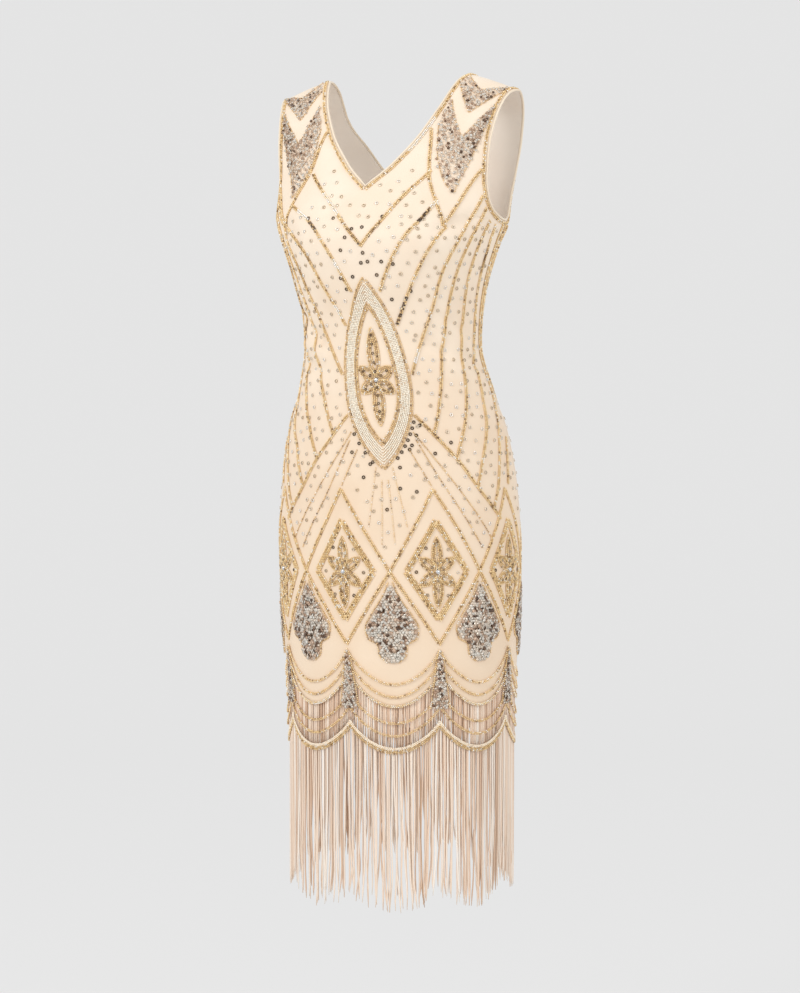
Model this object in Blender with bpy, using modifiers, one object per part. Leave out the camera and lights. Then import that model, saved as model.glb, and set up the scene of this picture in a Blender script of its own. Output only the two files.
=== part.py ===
"""Flapper dress: a sleeveless V-neck sheath with a scalloped hem and a long fringe.

It is modelled from the pieces that a maker cuts and sews: front and back, the bindings of the neck and
armholes, the band of strands under the skirt's edge, the corded trim, the fringe and the beaded applique.

Frame: metres, +Z up, the front faces -Y and +X is the wearer's left. The origin lies midway between the
shoulders, at the height of the middle of the two straps, where the wearer's shoulders carry the dress.
"""

import math
from collections import namedtuple

import bmesh
import bpy
from mathutils import Matrix, Vector

# ---------------------------------------------------------------- driving dimensions (metres, degrees)
WALL = 0.0016                 # cloth and lining together
FRINGE_WALL = 0.0020
SEAM_GAP = 0.0005             # between front and back at the side and shoulder seams
APPLIQUE_GAP = 0.0009         # from the cloth to what is sewn on it
APPLIQUE_WALL = 0.0010

FRONT_V = 0.140               # depth of the front neckline below the straps' middle
BACK_V = 0.165
ARMHOLE = 0.179               # depth of the armhole
SHOULDER_RISE = 0.011         # neck point above, and shoulder point below, the straps' middle
NECK_HALF = 0.099
SHOULDER_HALF = 0.162
SHOULDER_POWER = 1.2          # how the shoulder seam bends between them

REPEATS = 8                   # lozenges, fans, drops and scallops round the skirt
SCALLOP_START = 0.640         # where the panels' rows begin to follow the scalloped edge
EDGE_HIGH, EDGE_LOW = 0.748, 0.792       # skirt cloth's lower edge
TRIM_HIGH, TRIM_LOW = 0.811, 0.846       # corded trim
FRINGE_HIGH, FRINGE_LOW = 1.029, 1.055   # ends of the fringe
BACK_FRINGE_RISE = 0.032      # the fringe is shorter at the back
SCALLOP_POWER = 0.75          # below 1 the scallops meet in points

PIPING_RADIUS = 0.0015
TRIM_RADIUS = 0.0022
EDGE_CLEARANCE = 0.0004
TRIM_CLEARANCE = 0.0042       # along the drop, from the trim's middle to the strands

BUST_LIFT = 0.006             # soft fullness on each side of the centre front
BUST_DROP, BUST_ANGLE = 0.212, 34.0
BUST_REACH, BUST_SPREAD = 0.050, 26.0

COLUMN_ANGLE = 7.5            # between the panels' columns, below the armholes
QUARTER_COLUMNS = round(90.0 / COLUMN_ANGLE)

# Drops of the panels' rows beside the neckline and armholes, closer where the shoulder and the
# armhole's foot turn. The bindings follow the same drops.
STRAP_ROWS = (0.0, 0.001, 0.005, 0.012, 0.022, 0.036, 0.054, 0.076, 0.101, 0.122, 0.140)
FOOT_ROWS = (0.152, 0.165, 0.1715, 0.1755, 0.178, 0.179)
EDGE_ROWS = STRAP_ROWS + FOOT_ROWS

FRONT, BACK = "front", "back"

# Horizontal sections, one row for each, in millimetres and degrees. The front is half an ellipse of
# half-width front_span from side_y to front_y, and the back is the same with its own columns. Above the
# armholes only an arc of each is cloth. shift moves a section sideways, and turn turns it about +Z.
Section = namedtuple("Section", "drop front_span front_y side_y back_span back_y shift turn")
SECTIONS = (
    Section(0, 240.0, 0, 0, 240.0, 0, 0, -8.0),
    Section(29, 230.0, -50, 0, 208.0, 60, 0, -8.0),
    Section(70, 208.0, -79, 0, 181.0, 79, 0, -8.0),
    Section(113, 176.0, -102, -4, 160.0, 92, 0, -8.0),
    Section(140, 163.0, -117, -11, 154.5, 94, -1, -7.6),
    Section(179, 152.0, -134, -24, 152.0, 91, -2, -6.0),
    Section(206, 141.2, -143, -26, 141.2, 85, -3, -4.9),
    Section(254, 126.0, -135, -27, 126.0, 73, -3, -4.5),
    Section(306, 116.4, -121, -28, 116.4, 66, -1, -3.8),
    Section(337, 114.9, -117, -28, 114.9, 64, -1, -2.8),
    Section(400, 128.5, -116, -21, 128.5, 85, 0, 0.4),
    Section(440, 141.4, -118, -14, 141.4, 104, 0, 2.4),
    Section(519, 153.7, -123, -5, 153.7, 122, 0, 5.6),
    Section(576, 156.9, -125, 0, 156.9, 126, 0, 7.2),
    Section(680, 154.4, -127, 2, 154.4, 127, 1, 8.7),
    Section(792, 148.1, -129, 4, 148.1, 128, 2, 10.0),
    Section(850, 147.0, -129, 4, 147.0, 128, 2, 10.0),
    Section(1060, 146.0, -129, 4, 146.0, 128, 2, 10.0),
)

# Half-widths of the neckline and of the straps' outer edge, by drop, in millimetres.
EdgeRow = namedtuple("EdgeRow", "drop half")
NECKLINES = {
    FRONT: (EdgeRow(0, 99.0), EdgeRow(29, 84.0), EdgeRow(70, 63.5), EdgeRow(113, 30.0), EdgeRow(140, 0)),
    BACK: (EdgeRow(0, 99.0), EdgeRow(8, 100.5), EdgeRow(22, 101.8), EdgeRow(34, 101.0), EdgeRow(46, 97.0),
           EdgeRow(57, 90.5), EdgeRow(68, 81.5), EdgeRow(101, 59.0), EdgeRow(135, 29.0), EdgeRow(165, 0)),
}
ARMHOLES = {
    FRONT: (EdgeRow(0, 162.0), EdgeRow(20, 152.5), EdgeRow(52, 147.0), EdgeRow(90, 143.0),
            EdgeRow(126, 141.5), EdgeRow(150, 143.5), EdgeRow(165, 146.5), EdgeRow(179, 152.0)),
    BACK: (EdgeRow(0, 162.0), EdgeRow(34, 153.5), EdgeRow(72, 150.0), EdgeRow(116, 147.0),
           EdgeRow(155, 147.0), EdgeRow(170, 149.5), EdgeRow(179, 152.0)),
}

# Marquise medallion on the centre front: a beaded band between two outlines.
MEDALLION_TOP, MEDALLION_BOTTOM = 0.254, 0.492
MEDALLION_HALF = 0.042
MEDALLION_INNER_TOP, MEDALLION_INNER_BOTTOM = 0.286, 0.462
MEDALLION_INNER_HALF = 0.027
MEDALLION_WIDEST = 0.60       # of the way down
MEDALLION_POWER = 0.85        # below 1 the outline is fuller
MEDALLION_ROUNDS = 48
MEDALLION_STONE = 0.381

# Fans under the lozenges' meeting points, and drops under their lower points: half-widths by drop.
FAN_ROWS = (EdgeRow(634, 1.5), EdgeRow(655, 11.0), EdgeRow(676, 25.0), EdgeRow(693, 33.0),
            EdgeRow(706, 30.0), EdgeRow(713, 18.0), EdgeRow(726, 16.0), EdgeRow(736, 6.0))
DROP_ROWS = (EdgeRow(722, 1.5), EdgeRow(738, 4.5), EdgeRow(755, 6.5), EdgeRow(770, 8.5), EdgeRow(792, 12.0))
LOZENGE_MIDDLE = 0.622
STONE_RADIUS = 0.0030

# Sequin chevrons on the straps. across runs from the neckline (0) to the armhole (1), drop in millimetres.
# The upper edge goes arm, notch, arm and the lower one arm, tip, arm.
Chevron = namedtuple("Chevron", "name face neck_arm notch outer_arm neck_heel tip outer_heel")
CHEVRONS = (
    Chevron("upper_front", FRONT, (0.10, 2), (0.50, 17), (0.94, 3), (0.10, 15), (0.53, 48), (0.94, 10)),
    Chevron("lower_front", FRONT, (0.12, 33), (0.59, 79), (0.93, 30), (0.15, 62), (0.69, 149), (0.90, 62)),
    Chevron("upper_back", BACK, (0.12, 3), (0.50, 15), (0.92, 4), (0.12, 15), (0.50, 46), (0.92, 10)),
)

# ---------------------------------------------------------------- finishes (linear colour)
Finish = namedtuple("Finish", "colour roughness metallic")
FINISHES = {
    "cream_cloth": Finish((0.93, 0.79, 0.62, 1.0), 0.55, 0.0),
    "piping": Finish((0.90, 0.80, 0.66, 1.0), 0.45, 0.0),
    "silver_sequin": Finish((0.62, 0.56, 0.48, 1.0), 0.22, 0.8),
    "white_bead": Finish((0.90, 0.86, 0.78, 1.0), 0.30, 0.0),
    "crystal": Finish((0.92, 0.93, 0.95, 1.0), 0.05, 0.0),
    "chainette": Finish((0.84, 0.68, 0.53, 1.0), 0.60, 0.0),
}

COLLECTION_NAME = "flapper_dress"


# ---------------------------------------------------------------- smooth columns of the tables
def smooth_column(rows, column, scale=0.001):
    """Return a function of drop that runs smoothly through one column of a table.

    It is a cubic through the rows over the square root of the drop, in which a rounded shoulder is an
    even run, and it never overshoots a row.
    """
    runs = [math.sqrt(row.drop * 0.001) for row in rows]
    values = [getattr(row, column) * scale for row in rows]
    steps = [(values[i + 1] - values[i]) / (runs[i + 1] - runs[i]) for i in range(len(rows) - 1)]
    slopes = [steps[0]]
    for before, after in zip(steps, steps[1:]):
        slopes.append(0.0 if before * after <= 0 else 2 * before * after / (before + after))
    slopes.append(steps[-1])

    def value(drop):
        run = min(max(math.sqrt(max(drop, 0.0)), runs[0]), runs[-1])
        i = next(k for k in range(len(steps)) if run <= runs[k + 1])
        width = runs[i + 1] - runs[i]
        t = (run - runs[i]) / width
        return ((2 * t ** 3 - 3 * t ** 2 + 1) * values[i] + (t ** 3 - 2 * t ** 2 + t) * width * slopes[i]
                + (3 * t ** 2 - 2 * t ** 3) * values[i + 1] + (t ** 3 - t ** 2) * width * slopes[i + 1])

    return value


SPAN = {FRONT: smooth_column(SECTIONS, "front_span"), BACK: smooth_column(SECTIONS, "back_span")}
FACE_Y = {FRONT: smooth_column(SECTIONS, "front_y"), BACK: smooth_column(SECTIONS, "back_y")}
SIDE_Y = smooth_column(SECTIONS, "side_y")
SHIFT = smooth_column(SECTIONS, "shift")
TURN = smooth_column(SECTIONS, "turn", math.radians(1.0))
NECK_X = {face: smooth_column(NECKLINES[face], "half") for face in NECKLINES}
ARM_X = {face: smooth_column(ARMHOLES[face], "half") for face in ARMHOLES}
V_DROP = {FRONT: FRONT_V, BACK: BACK_V}


# ---------------------------------------------------------------- the dress's surface
def shoulder_height(x):
    """Height of the shoulder seam over the straps' middle, x metres from the centre."""
    part = min(max((abs(x) - NECK_HALF) / (SHOULDER_HALF - NECK_HALF), 0.0), 1.0)
    return SHOULDER_RISE * (1.0 - 2.0 * part ** SHOULDER_POWER)


def bust_lift(angle, drop):
    """Soft fullness of the front over the bust, in metres."""
    across = (abs(angle) - math.radians(BUST_ANGLE)) / math.radians(BUST_SPREAD)
    along = (drop - BUST_DROP) / BUST_REACH
    return BUST_LIFT * math.exp(-across ** 2 - along ** 2)


def surface(face, angle, drop):
    """Point of the outer surface. angle is 0 at the centre and +90 degrees at the wearer's left side."""
    x = SPAN[face](drop) * math.sin(angle)
    side = SIDE_Y(drop)
    y = side + (FACE_Y[face](drop) - side) * math.cos(angle)
    if face == FRONT:
        y -= bust_lift(angle, drop)
    y += SEAM_GAP / 2 if face == BACK else -SEAM_GAP / 2
    fade = max(0.0, 1.0 - drop / ARMHOLE) ** 2
    point = Vector((x + SHIFT(drop), y, shoulder_height(x) * fade - drop))
    return Matrix.Rotation(TURN(drop), 3, "Z") @ point


def outward(face, angle, drop):
    """Unit normal of the outer surface, away from the wearer."""
    small_angle, small_run = 0.002, 0.0005
    run = max(math.sqrt(max(drop, 0.0)), small_run)
    across = surface(face, angle + small_angle, drop) - surface(face, angle - small_angle, drop)
    up = surface(face, angle, (run - small_run) ** 2) - surface(face, angle, (run + small_run) ** 2)
    normal = across.cross(up).normalized()
    return normal if face == FRONT else -normal


def inner_angle(face, drop):
    """Angle of the neckline, or 0 below its point."""
    return math.asin(NECK_X[face](drop) / SPAN[face](drop)) if drop < V_DROP[face] else 0.0


def outer_angle(face, drop):
    """Angle of the armhole's edge, or of the side seam below it."""
    if drop >= ARMHOLE:
        return math.pi / 2
    return math.asin(min(ARM_X[face](drop) / SPAN[face](drop), 1.0))


def scallop(angle, high, low):
    """Drop of a scalloped line: high at the lozenges' middles, low between them."""
    across = abs(math.cos(angle * REPEATS / 2))
    return high + (low - high) * across ** SCALLOP_POWER


def fringe_end(face, angle):
    """Drop of the fringe's lower end, which rises towards the centre back."""
    rise = BACK_FRINGE_RISE * (0.5 + 0.5 * math.cos(angle)) if face == BACK else \
        BACK_FRINGE_RISE * (0.5 - 0.5 * math.cos(angle))
    return scallop(angle, FRINGE_HIGH, FRINGE_LOW) - rise


# ---------------------------------------------------------------- helpers for Blender objects
def clear_scene():
    """Remove the objects of the start-up scene."""
    for item in list(bpy.data.objects):
        bpy.data.objects.remove(item, do_unlink=True)


def finish_material(slot):
    """Return the Principled material of a slot, made once."""
    material = bpy.data.materials.get(slot)
    if material is None:
        material = bpy.data.materials.new(slot)
        material.use_nodes = True
        shader = material.node_tree.nodes["Principled BSDF"]
        finish = FINISHES[slot]
        shader.inputs["Base Color"].default_value = finish.colour
        shader.inputs["Roughness"].default_value = finish.roughness
        shader.inputs["Metallic"].default_value = finish.metallic
        material.diffuse_color = finish.colour
    return material


def add_object(name, data, slot):
    """Link a mesh or a curve to the dress's collection as a named piece."""
    piece = bpy.data.objects.new(name, data)
    data.materials.append(finish_material(slot))
    bpy.data.collections[COLLECTION_NAME].objects.link(piece)
    return piece


def add_grid(bm, columns, rows, place):
    """Add a grid to a bmesh and move its corners to place(column, row)."""
    made = bmesh.ops.create_grid(bm, x_segments=columns, y_segments=rows, size=0.5)
    for vert in made["verts"]:
        column = round((vert.co.x + 0.5) * columns)
        row = round((vert.co.y + 0.5) * rows)
        vert.co = place(column, row)


def finish_sheet(name, bm, slot, wall, offset, flip):
    """Turn an open surface into a piece with a wall, which grows inwards at offset -1, outwards at +1."""
    bmesh.ops.remove_doubles(bm, verts=bm.verts, dist=0.00002)
    if flip:
        bmesh.ops.reverse_faces(bm, faces=bm.faces)
    mesh = bpy.data.meshes.new(name)
    bm.to_mesh(mesh)
    bm.free()
    mesh.shade_smooth()
    piece = add_object(name, mesh, slot)
    shell = piece.modifiers.new("Wall", "SOLIDIFY")
    shell.thickness = wall
    shell.offset = offset
    shell.use_even_offset = True
    return piece


def add_tube(name, points, radius, slot):
    """Add a closed round cord through the points."""
    curve = bpy.data.curves.new(name, "CURVE")
    curve.dimensions = "3D"
    curve.bevel_depth = radius
    curve.bevel_resolution = 1
    spline = curve.splines.new("POLY")
    spline.points.add(len(points) - 1)
    for target, point in zip(spline.points, points):
        target.co = (*point, 1.0)
    spline.use_cyclic_u = True
    return add_object(name, curve, slot)


# ---------------------------------------------------------------- front and back
def panel_rows():
    """Drops of a panel's rows, from the skirt's edge up to the shoulder seam."""
    body_rows = 16
    body = [ARMHOLE + (EDGE_LOW - ARMHOLE) * k / body_rows for k in range(1, body_rows + 1)]
    return list(reversed(EDGE_ROWS + tuple(body)))


def panel_drop(base, angle):
    """Drop of a panel's row at an angle: low rows follow the scalloped edge."""
    if base <= SCALLOP_START:
        return base
    edge = scallop(angle, EDGE_HIGH, EDGE_LOW)
    return SCALLOP_START + (base - SCALLOP_START) * (edge - SCALLOP_START) / (EDGE_LOW - SCALLOP_START)


def build_panel(face):
    """Cut one panel: two halves that meet on the centre line below the neckline's point."""
    rows = panel_rows()
    bm = bmesh.new()
    for side in (-1, 1):
        def place(column, row, side=side):
            part = column / QUARTER_COLUMNS
            part = part if side > 0 else 1.0 - part
            base = rows[row]
            inner, outer = inner_angle(face, base), outer_angle(face, base)
            angle = side * (inner + (outer - inner) * part)
            return surface(face, angle, panel_drop(base, angle))
        add_grid(bm, QUARTER_COLUMNS, len(rows) - 1, place)
    return finish_sheet(f"{face}_panel", bm, "cream_cloth", WALL, -1.0, face == BACK)


# ---------------------------------------------------------------- bindings
EdgePoint = namedtuple("EdgePoint", "point normal inside")


def edge_point(face, side, drop, edge):
    """A point of a neckline or armhole, its normal, and a point a little way into the cloth."""
    into_cloth = math.radians(2.0)
    angle = edge(face, drop)
    inside = angle + into_cloth if edge is inner_angle else angle - into_cloth
    if drop == V_DROP[face] and edge is inner_angle:
        return EdgePoint(surface(face, 0.0, drop), outward(face, 0.0, drop),
                         surface(face, 0.0, drop + 0.005))
    if drop == ARMHOLE and edge is outer_angle:
        return EdgePoint(surface(face, side * angle, drop), outward(face, side * angle, drop),
                         surface(face, side * angle, drop + 0.005))
    return EdgePoint(surface(face, side * angle, drop), outward(face, side * angle, drop),
                     surface(face, side * inside, drop))


def binding_path(edge_points, distance, sink):
    """Move a closed edge off the cloth by distance, mitred at its corners, and into the wall by sink."""
    count = len(edge_points)
    path = []
    for i, here in enumerate(edge_points):
        before, after = edge_points[i - 1], edge_points[(i + 1) % count]
        away = []
        for start, end in ((before, here), (here, after)):
            along = (end.point - start.point).normalized()
            side = here.normal.cross(along)
            into = here.inside - here.point
            away.append(side if side.dot(into) < 0 else -side)
        middle = (away[0] + away[1]).normalized()
        mitre = 1.0 / max(middle.dot(away[0]), 0.5)
        path.append(here.point + middle * distance * mitre - here.normal * sink)
    return path


def build_neck_binding():
    """Pipe the neckline: front point, wearer's left, back point, wearer's right."""
    points = []
    for face, side in ((FRONT, 1), (BACK, 1), (BACK, -1), (FRONT, -1)):
        drops = [drop for drop in EDGE_ROWS if drop <= V_DROP[face]]
        downwards = (face == BACK) == (side == 1)
        ordered = drops if downwards else list(reversed(drops))
        points += [edge_point(face, side, drop, inner_angle) for drop in ordered[:-1]]
    path = binding_path(points, PIPING_RADIUS + EDGE_CLEARANCE, WALL / 2)
    return add_tube("neck_binding", path, PIPING_RADIUS, "piping")


def build_armhole_binding(side):
    """Pipe one armhole: down its front edge and up its back edge."""
    points = [edge_point(FRONT, side, drop, outer_angle) for drop in EDGE_ROWS[:-1]]
    points += [edge_point(BACK, side, drop, outer_angle) for drop in reversed(EDGE_ROWS[1:])]
    path = binding_path(points, PIPING_RADIUS + EDGE_CLEARANCE, WALL / 2)
    name = "left" if side > 0 else "right"
    return add_tube(f"armhole_binding_{name}", path, PIPING_RADIUS, "piping")


# ---------------------------------------------------------------- hem: strands, trim and fringe
def hem_wall(name, face, rows, upper, lower, wall):
    """Build half the round of a hanging wall between two lines given as functions of the angle."""
    columns = 2 * QUARTER_COLUMNS

    def place(column, row):
        angle = math.pi * (column / columns - 0.5)
        top, bottom = upper(angle), lower(angle)
        return surface(face, angle, bottom + (top - bottom) * row / rows)

    bm = bmesh.new()
    add_grid(bm, columns, rows, place)
    return finish_sheet(name, bm, "chainette", wall, -1.0, face == BACK)


def build_strand_band(face):
    """Openwork band of strands between the skirt's edge and the trim."""
    return hem_wall(f"strand_band_{face}", face, 1,
                    lambda angle: scallop(angle, EDGE_HIGH, EDGE_LOW) + EDGE_CLEARANCE,
                    lambda angle: scallop(angle, TRIM_HIGH, TRIM_LOW) - TRIM_CLEARANCE, WALL)


def build_fringe(face):
    """Long fringe below the trim, as a plain wall of its reach."""
    return hem_wall(f"fringe_{face}", face, 3,
                    lambda angle: scallop(angle, TRIM_HIGH, TRIM_LOW) + TRIM_CLEARANCE,
                    lambda angle: fringe_end(face, angle), FRINGE_WALL)


def build_hem_trim():
    """Corded trim, one closed scalloped round."""
    points = []
    for face, direction in ((FRONT, 1), (BACK, -1)):
        for column in range(2 * QUARTER_COLUMNS):
            angle = direction * math.radians(column * COLUMN_ANGLE - 90.0)
            drop = scallop(angle, TRIM_HIGH, TRIM_LOW)
            points.append(surface(face, angle, drop) - outward(face, angle, drop) * WALL / 2)
    return add_tube("hem_trim", points, TRIM_RADIUS, "white_bead")


# ---------------------------------------------------------------- applique
def raised(face, angle, drop, height=APPLIQUE_GAP):
    """Point over the cloth, moved out along its normal."""
    return surface(face, angle, drop) + outward(face, angle, drop) * height


def marquise(part):
    """Half-width of the medallion, from 0 to 1, at a part of the way down."""
    if part < MEDALLION_WIDEST:
        reach = 1.0 - part / MEDALLION_WIDEST
    else:
        reach = (part - MEDALLION_WIDEST) / (1.0 - MEDALLION_WIDEST)
    return max(1.0 - reach ** 2, 0.0) ** MEDALLION_POWER


def medallion_place(turn, top, bottom, half):
    """Point of a marquise outline. turn runs once round from the top point."""
    part = 0.5 - 0.5 * math.cos(turn)
    width = half * marquise(part) * (1 if math.sin(turn) >= 0 else -1)
    drop = top + (bottom - top) * part
    return raised(FRONT, math.asin(width / SPAN[FRONT](drop)), drop)


def build_medallion_band():
    """White beaded band of the medallion."""
    def place(column, row):
        turn = 2 * math.pi * column / MEDALLION_ROUNDS
        if row == 0:
            return medallion_place(turn, MEDALLION_TOP, MEDALLION_BOTTOM, MEDALLION_HALF)
        return medallion_place(turn, MEDALLION_INNER_TOP, MEDALLION_INNER_BOTTOM, MEDALLION_INNER_HALF)

    bm = bmesh.new()
    add_grid(bm, MEDALLION_ROUNDS, 1, place)
    return finish_sheet("medallion_band", bm, "white_bead", APPLIQUE_WALL, 1.0, True)


def skirt_centres(offset):
    """Yield (number, face, angle) of the repeats round the skirt, offset degrees from the centre front."""
    for number in range(REPEATS):
        around = (offset + number * 360.0 / REPEATS + 180.0) % 360.0 - 180.0
        if abs(around) <= 90.0:
            yield number + 1, FRONT, math.radians(around)
        else:
            yield number + 1, BACK, math.radians(math.copysign(180.0 - abs(around), around))


def build_motif(name, face, centre, rows):
    """Build one sequin motif from its half-widths by drop. One on a side seam lies on both panels."""
    half = [smooth_column(rows, "half")(row.drop * 0.001) for row in rows]
    columns = 6

    def place(column, row):
        drop = rows[len(rows) - 1 - row].drop * 0.001
        width = half[len(rows) - 1 - row]
        depth = FACE_Y[face](drop) - SIDE_Y(drop)
        arc = math.hypot(SPAN[face](drop) * math.cos(centre), depth * math.sin(centre))
        angle = centre + (2.0 * column / columns - 1.0) * width / arc
        beyond = abs(angle) > math.pi / 2
        other = BACK if face == FRONT else FRONT
        angle_on = math.copysign(math.pi - abs(angle), angle) if beyond else angle
        return raised(other if beyond else face, angle_on, drop)

    bm = bmesh.new()
    add_grid(bm, columns, len(rows) - 1, place)
    return finish_sheet(name, bm, "silver_sequin", APPLIQUE_WALL, 1.0, face == BACK)


def build_chevron(chevron, side):
    """Build one sequin chevron on a strap, between its notched upper edge and its pointed lower one."""
    arms, rows = 4, 5

    def along(line, part):
        first, second = (line[0], line[1]) if part <= 0.5 else (line[1], line[2])
        blend = part * 2 if part <= 0.5 else part * 2 - 1
        return [a + (b - a) * blend for a, b in zip(first, second)]

    upper = (chevron.neck_arm, chevron.notch, chevron.outer_arm)
    lower = (chevron.neck_heel, chevron.tip, chevron.outer_heel)

    def place(column, row):
        part = column / (2 * arms)
        top, bottom = along(upper, part), along(lower, part)
        across, drop = [b + (t - b) * row / rows for t, b in zip(top, bottom)]
        drop *= 0.001
        inner, outer = inner_angle(chevron.face, drop), outer_angle(chevron.face, drop)
        return raised(chevron.face, side * (inner + (outer - inner) * across), drop)

    bm = bmesh.new()
    add_grid(bm, 2 * arms, rows, place)
    flip = (chevron.face == BACK) == (side == 1)
    hand = "left" if side > 0 else "right"
    return finish_sheet(f"chevron_{hand}_{chevron.name}", bm, "silver_sequin", APPLIQUE_WALL, 1.0, flip)


def build_stone(name, face, angle, drop):
    """Build one domed stone, set just clear of the cloth."""
    bm = bmesh.new()
    bmesh.ops.create_uvsphere(bm, u_segments=8, v_segments=4, radius=STONE_RADIUS)
    flatten = 0.55
    bmesh.ops.scale(bm, vec=(1.0, 1.0, flatten), verts=bm.verts)
    mesh = bpy.data.meshes.new(name)
    bm.to_mesh(mesh)
    bm.free()
    mesh.shade_smooth()
    stone = add_object(name, mesh, "crystal")
    normal = outward(face, angle, drop)
    stone.location = surface(face, angle, drop) + normal * (STONE_RADIUS * flatten + APPLIQUE_GAP)
    stone.rotation_euler = normal.to_track_quat("Z", "Y").to_euler()
    return stone


# ---------------------------------------------------------------- the dress
def build_dress():
    """Build every piece of the dress."""
    for face in (FRONT, BACK):
        build_panel(face)
        build_strand_band(face)
        build_fringe(face)
    build_neck_binding()
    for side in (1, -1):
        build_armhole_binding(side)
        for chevron in CHEVRONS:
            build_chevron(chevron, side)
    build_hem_trim()

    build_medallion_band()
    build_stone("medallion_stone", FRONT, 0.0, MEDALLION_STONE)
    half_repeat = 180.0 / REPEATS
    for number, face, angle in skirt_centres(0.0):
        build_motif(f"skirt_fan_{number}", face, angle, FAN_ROWS)
    for number, face, angle in skirt_centres(half_repeat):
        build_motif(f"skirt_drop_{number}", face, angle, DROP_ROWS)
        build_stone(f"lozenge_stone_{number}", face, angle, LOZENGE_MIDDLE)


def main():
    """Clear the scene and build the dress in its own collection."""
    clear_scene()
    collection = bpy.data.collections.new(COLLECTION_NAME)
    bpy.context.scene.collection.children.link(collection)
    build_dress()


main()
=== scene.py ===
"""Looks of a flapper dress: fine cloth, beadwork, sequins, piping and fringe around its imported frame.

Frame: metres, +Z up, the front faces -Y and +X is the wearer's left. The surface of the dress has two
coordinates: angle, which is 0 at the centre of the front or back and 90 degrees at the wearer's left side,
and drop, the depth below the middle of the straps.
"""

import logging
import math
from dataclasses import dataclass, field
from enum import Enum
from functools import partial
from typing import Callable, Iterable, Sequence

import bmesh
import bpy
import numpy as np
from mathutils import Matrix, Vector


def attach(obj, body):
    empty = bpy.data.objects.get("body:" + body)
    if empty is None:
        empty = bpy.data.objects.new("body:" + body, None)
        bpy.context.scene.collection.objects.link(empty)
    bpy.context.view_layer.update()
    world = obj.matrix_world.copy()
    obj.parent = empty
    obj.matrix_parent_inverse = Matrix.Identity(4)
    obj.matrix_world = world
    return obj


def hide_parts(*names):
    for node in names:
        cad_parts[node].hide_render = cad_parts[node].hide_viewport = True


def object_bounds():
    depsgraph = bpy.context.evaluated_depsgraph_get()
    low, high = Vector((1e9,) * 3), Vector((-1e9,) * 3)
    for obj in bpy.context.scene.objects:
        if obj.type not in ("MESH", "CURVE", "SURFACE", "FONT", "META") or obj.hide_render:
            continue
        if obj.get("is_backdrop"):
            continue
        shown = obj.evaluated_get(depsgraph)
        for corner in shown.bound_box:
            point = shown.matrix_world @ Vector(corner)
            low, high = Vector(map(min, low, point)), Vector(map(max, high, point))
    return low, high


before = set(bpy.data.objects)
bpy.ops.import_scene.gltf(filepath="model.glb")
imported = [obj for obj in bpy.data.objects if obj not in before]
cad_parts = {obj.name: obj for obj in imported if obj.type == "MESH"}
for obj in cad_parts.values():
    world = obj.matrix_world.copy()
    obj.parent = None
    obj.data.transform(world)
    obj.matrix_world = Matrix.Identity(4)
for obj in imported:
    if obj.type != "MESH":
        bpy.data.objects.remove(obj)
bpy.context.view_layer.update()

MM = 0.001
ROOT = "root"
LOG = logging.getLogger("flapper_dress")

Array = np.ndarray
Colour = tuple[float, float, float]
Place = tuple[float, float]           # degrees and millimetres of drop, or metres across and down
Stretch = tuple[float, float, float]  # start and end from 0 to 1, and a tone


class Face(Enum):
    """The two panels of the dress."""

    FRONT = "front"
    BACK = "back"


class Trinket(Enum):
    """The small things that are sewn on."""

    SEED = "seed bead"
    RING = "ring sequin"
    CUP = "cup sequin"
    STONE = "cut stone"


# ---------------------------------------------------------------- form
@dataclass(frozen=True)
class Section:
    """One horizontal section of the dress, in millimetres and degrees, at a drop."""

    drop: float
    front_span: float
    front_y: float
    side_y: float
    back_span: float
    back_y: float
    shift: float
    turn: float


@dataclass(frozen=True)
class EdgeRow:
    """Half-width of an edge or outline at a drop, in millimetres."""

    drop: float
    half: float


@dataclass(frozen=True)
class Crease:
    """A soft trough (depth below 0) or ridge between two places, in degrees and millimetres."""

    angle_from: float
    drop_from: float
    angle_to: float
    drop_to: float
    depth: float
    width: float


# Columns as in Section.
SECTIONS = tuple(Section(*row) for row in (
    (0, 240.0, 0, 0, 240.0, 0, 0, -8.0),
    (29, 230.0, -50, 0, 208.0, 60, 0, -8.0),
    (70, 208.0, -79, 0, 181.0, 79, 0, -8.0),
    (113, 176.0, -102, -4, 160.0, 92, 0, -8.0),
    (140, 163.0, -117, -11, 154.5, 94, -1, -7.6),
    (179, 152.0, -134, -24, 152.0, 91, -2, -6.0),
    (206, 141.2, -143, -26, 141.2, 85, -3, -4.9),
    (254, 126.0, -135, -27, 126.0, 73, -3, -4.5),
    (306, 116.4, -121, -28, 116.4, 66, -1, -3.8),
    (337, 114.9, -117, -28, 114.9, 64, -1, -2.8),
    (400, 128.5, -116, -21, 128.5, 85, 0, 0.4),
    (440, 141.4, -118, -14, 141.4, 104, 0, 2.4),
    (519, 153.7, -123, -5, 153.7, 122, 0, 5.6),
    (576, 156.9, -125, 0, 156.9, 126, 0, 7.2),
    (680, 154.4, -127, 2, 154.4, 127, 1, 8.7),
    (792, 148.1, -129, 4, 148.1, 128, 2, 10.0),
    (850, 147.0, -129, 4, 147.0, 128, 2, 10.0),
    (1060, 146.0, -129, 4, 146.0, 128, 2, 10.0),
))


def edge_rows(*rows: tuple[float, float]) -> tuple[EdgeRow, ...]:
    """Make an edge's table from its drops and half-widths."""
    return tuple(EdgeRow(*row) for row in rows)


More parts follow.
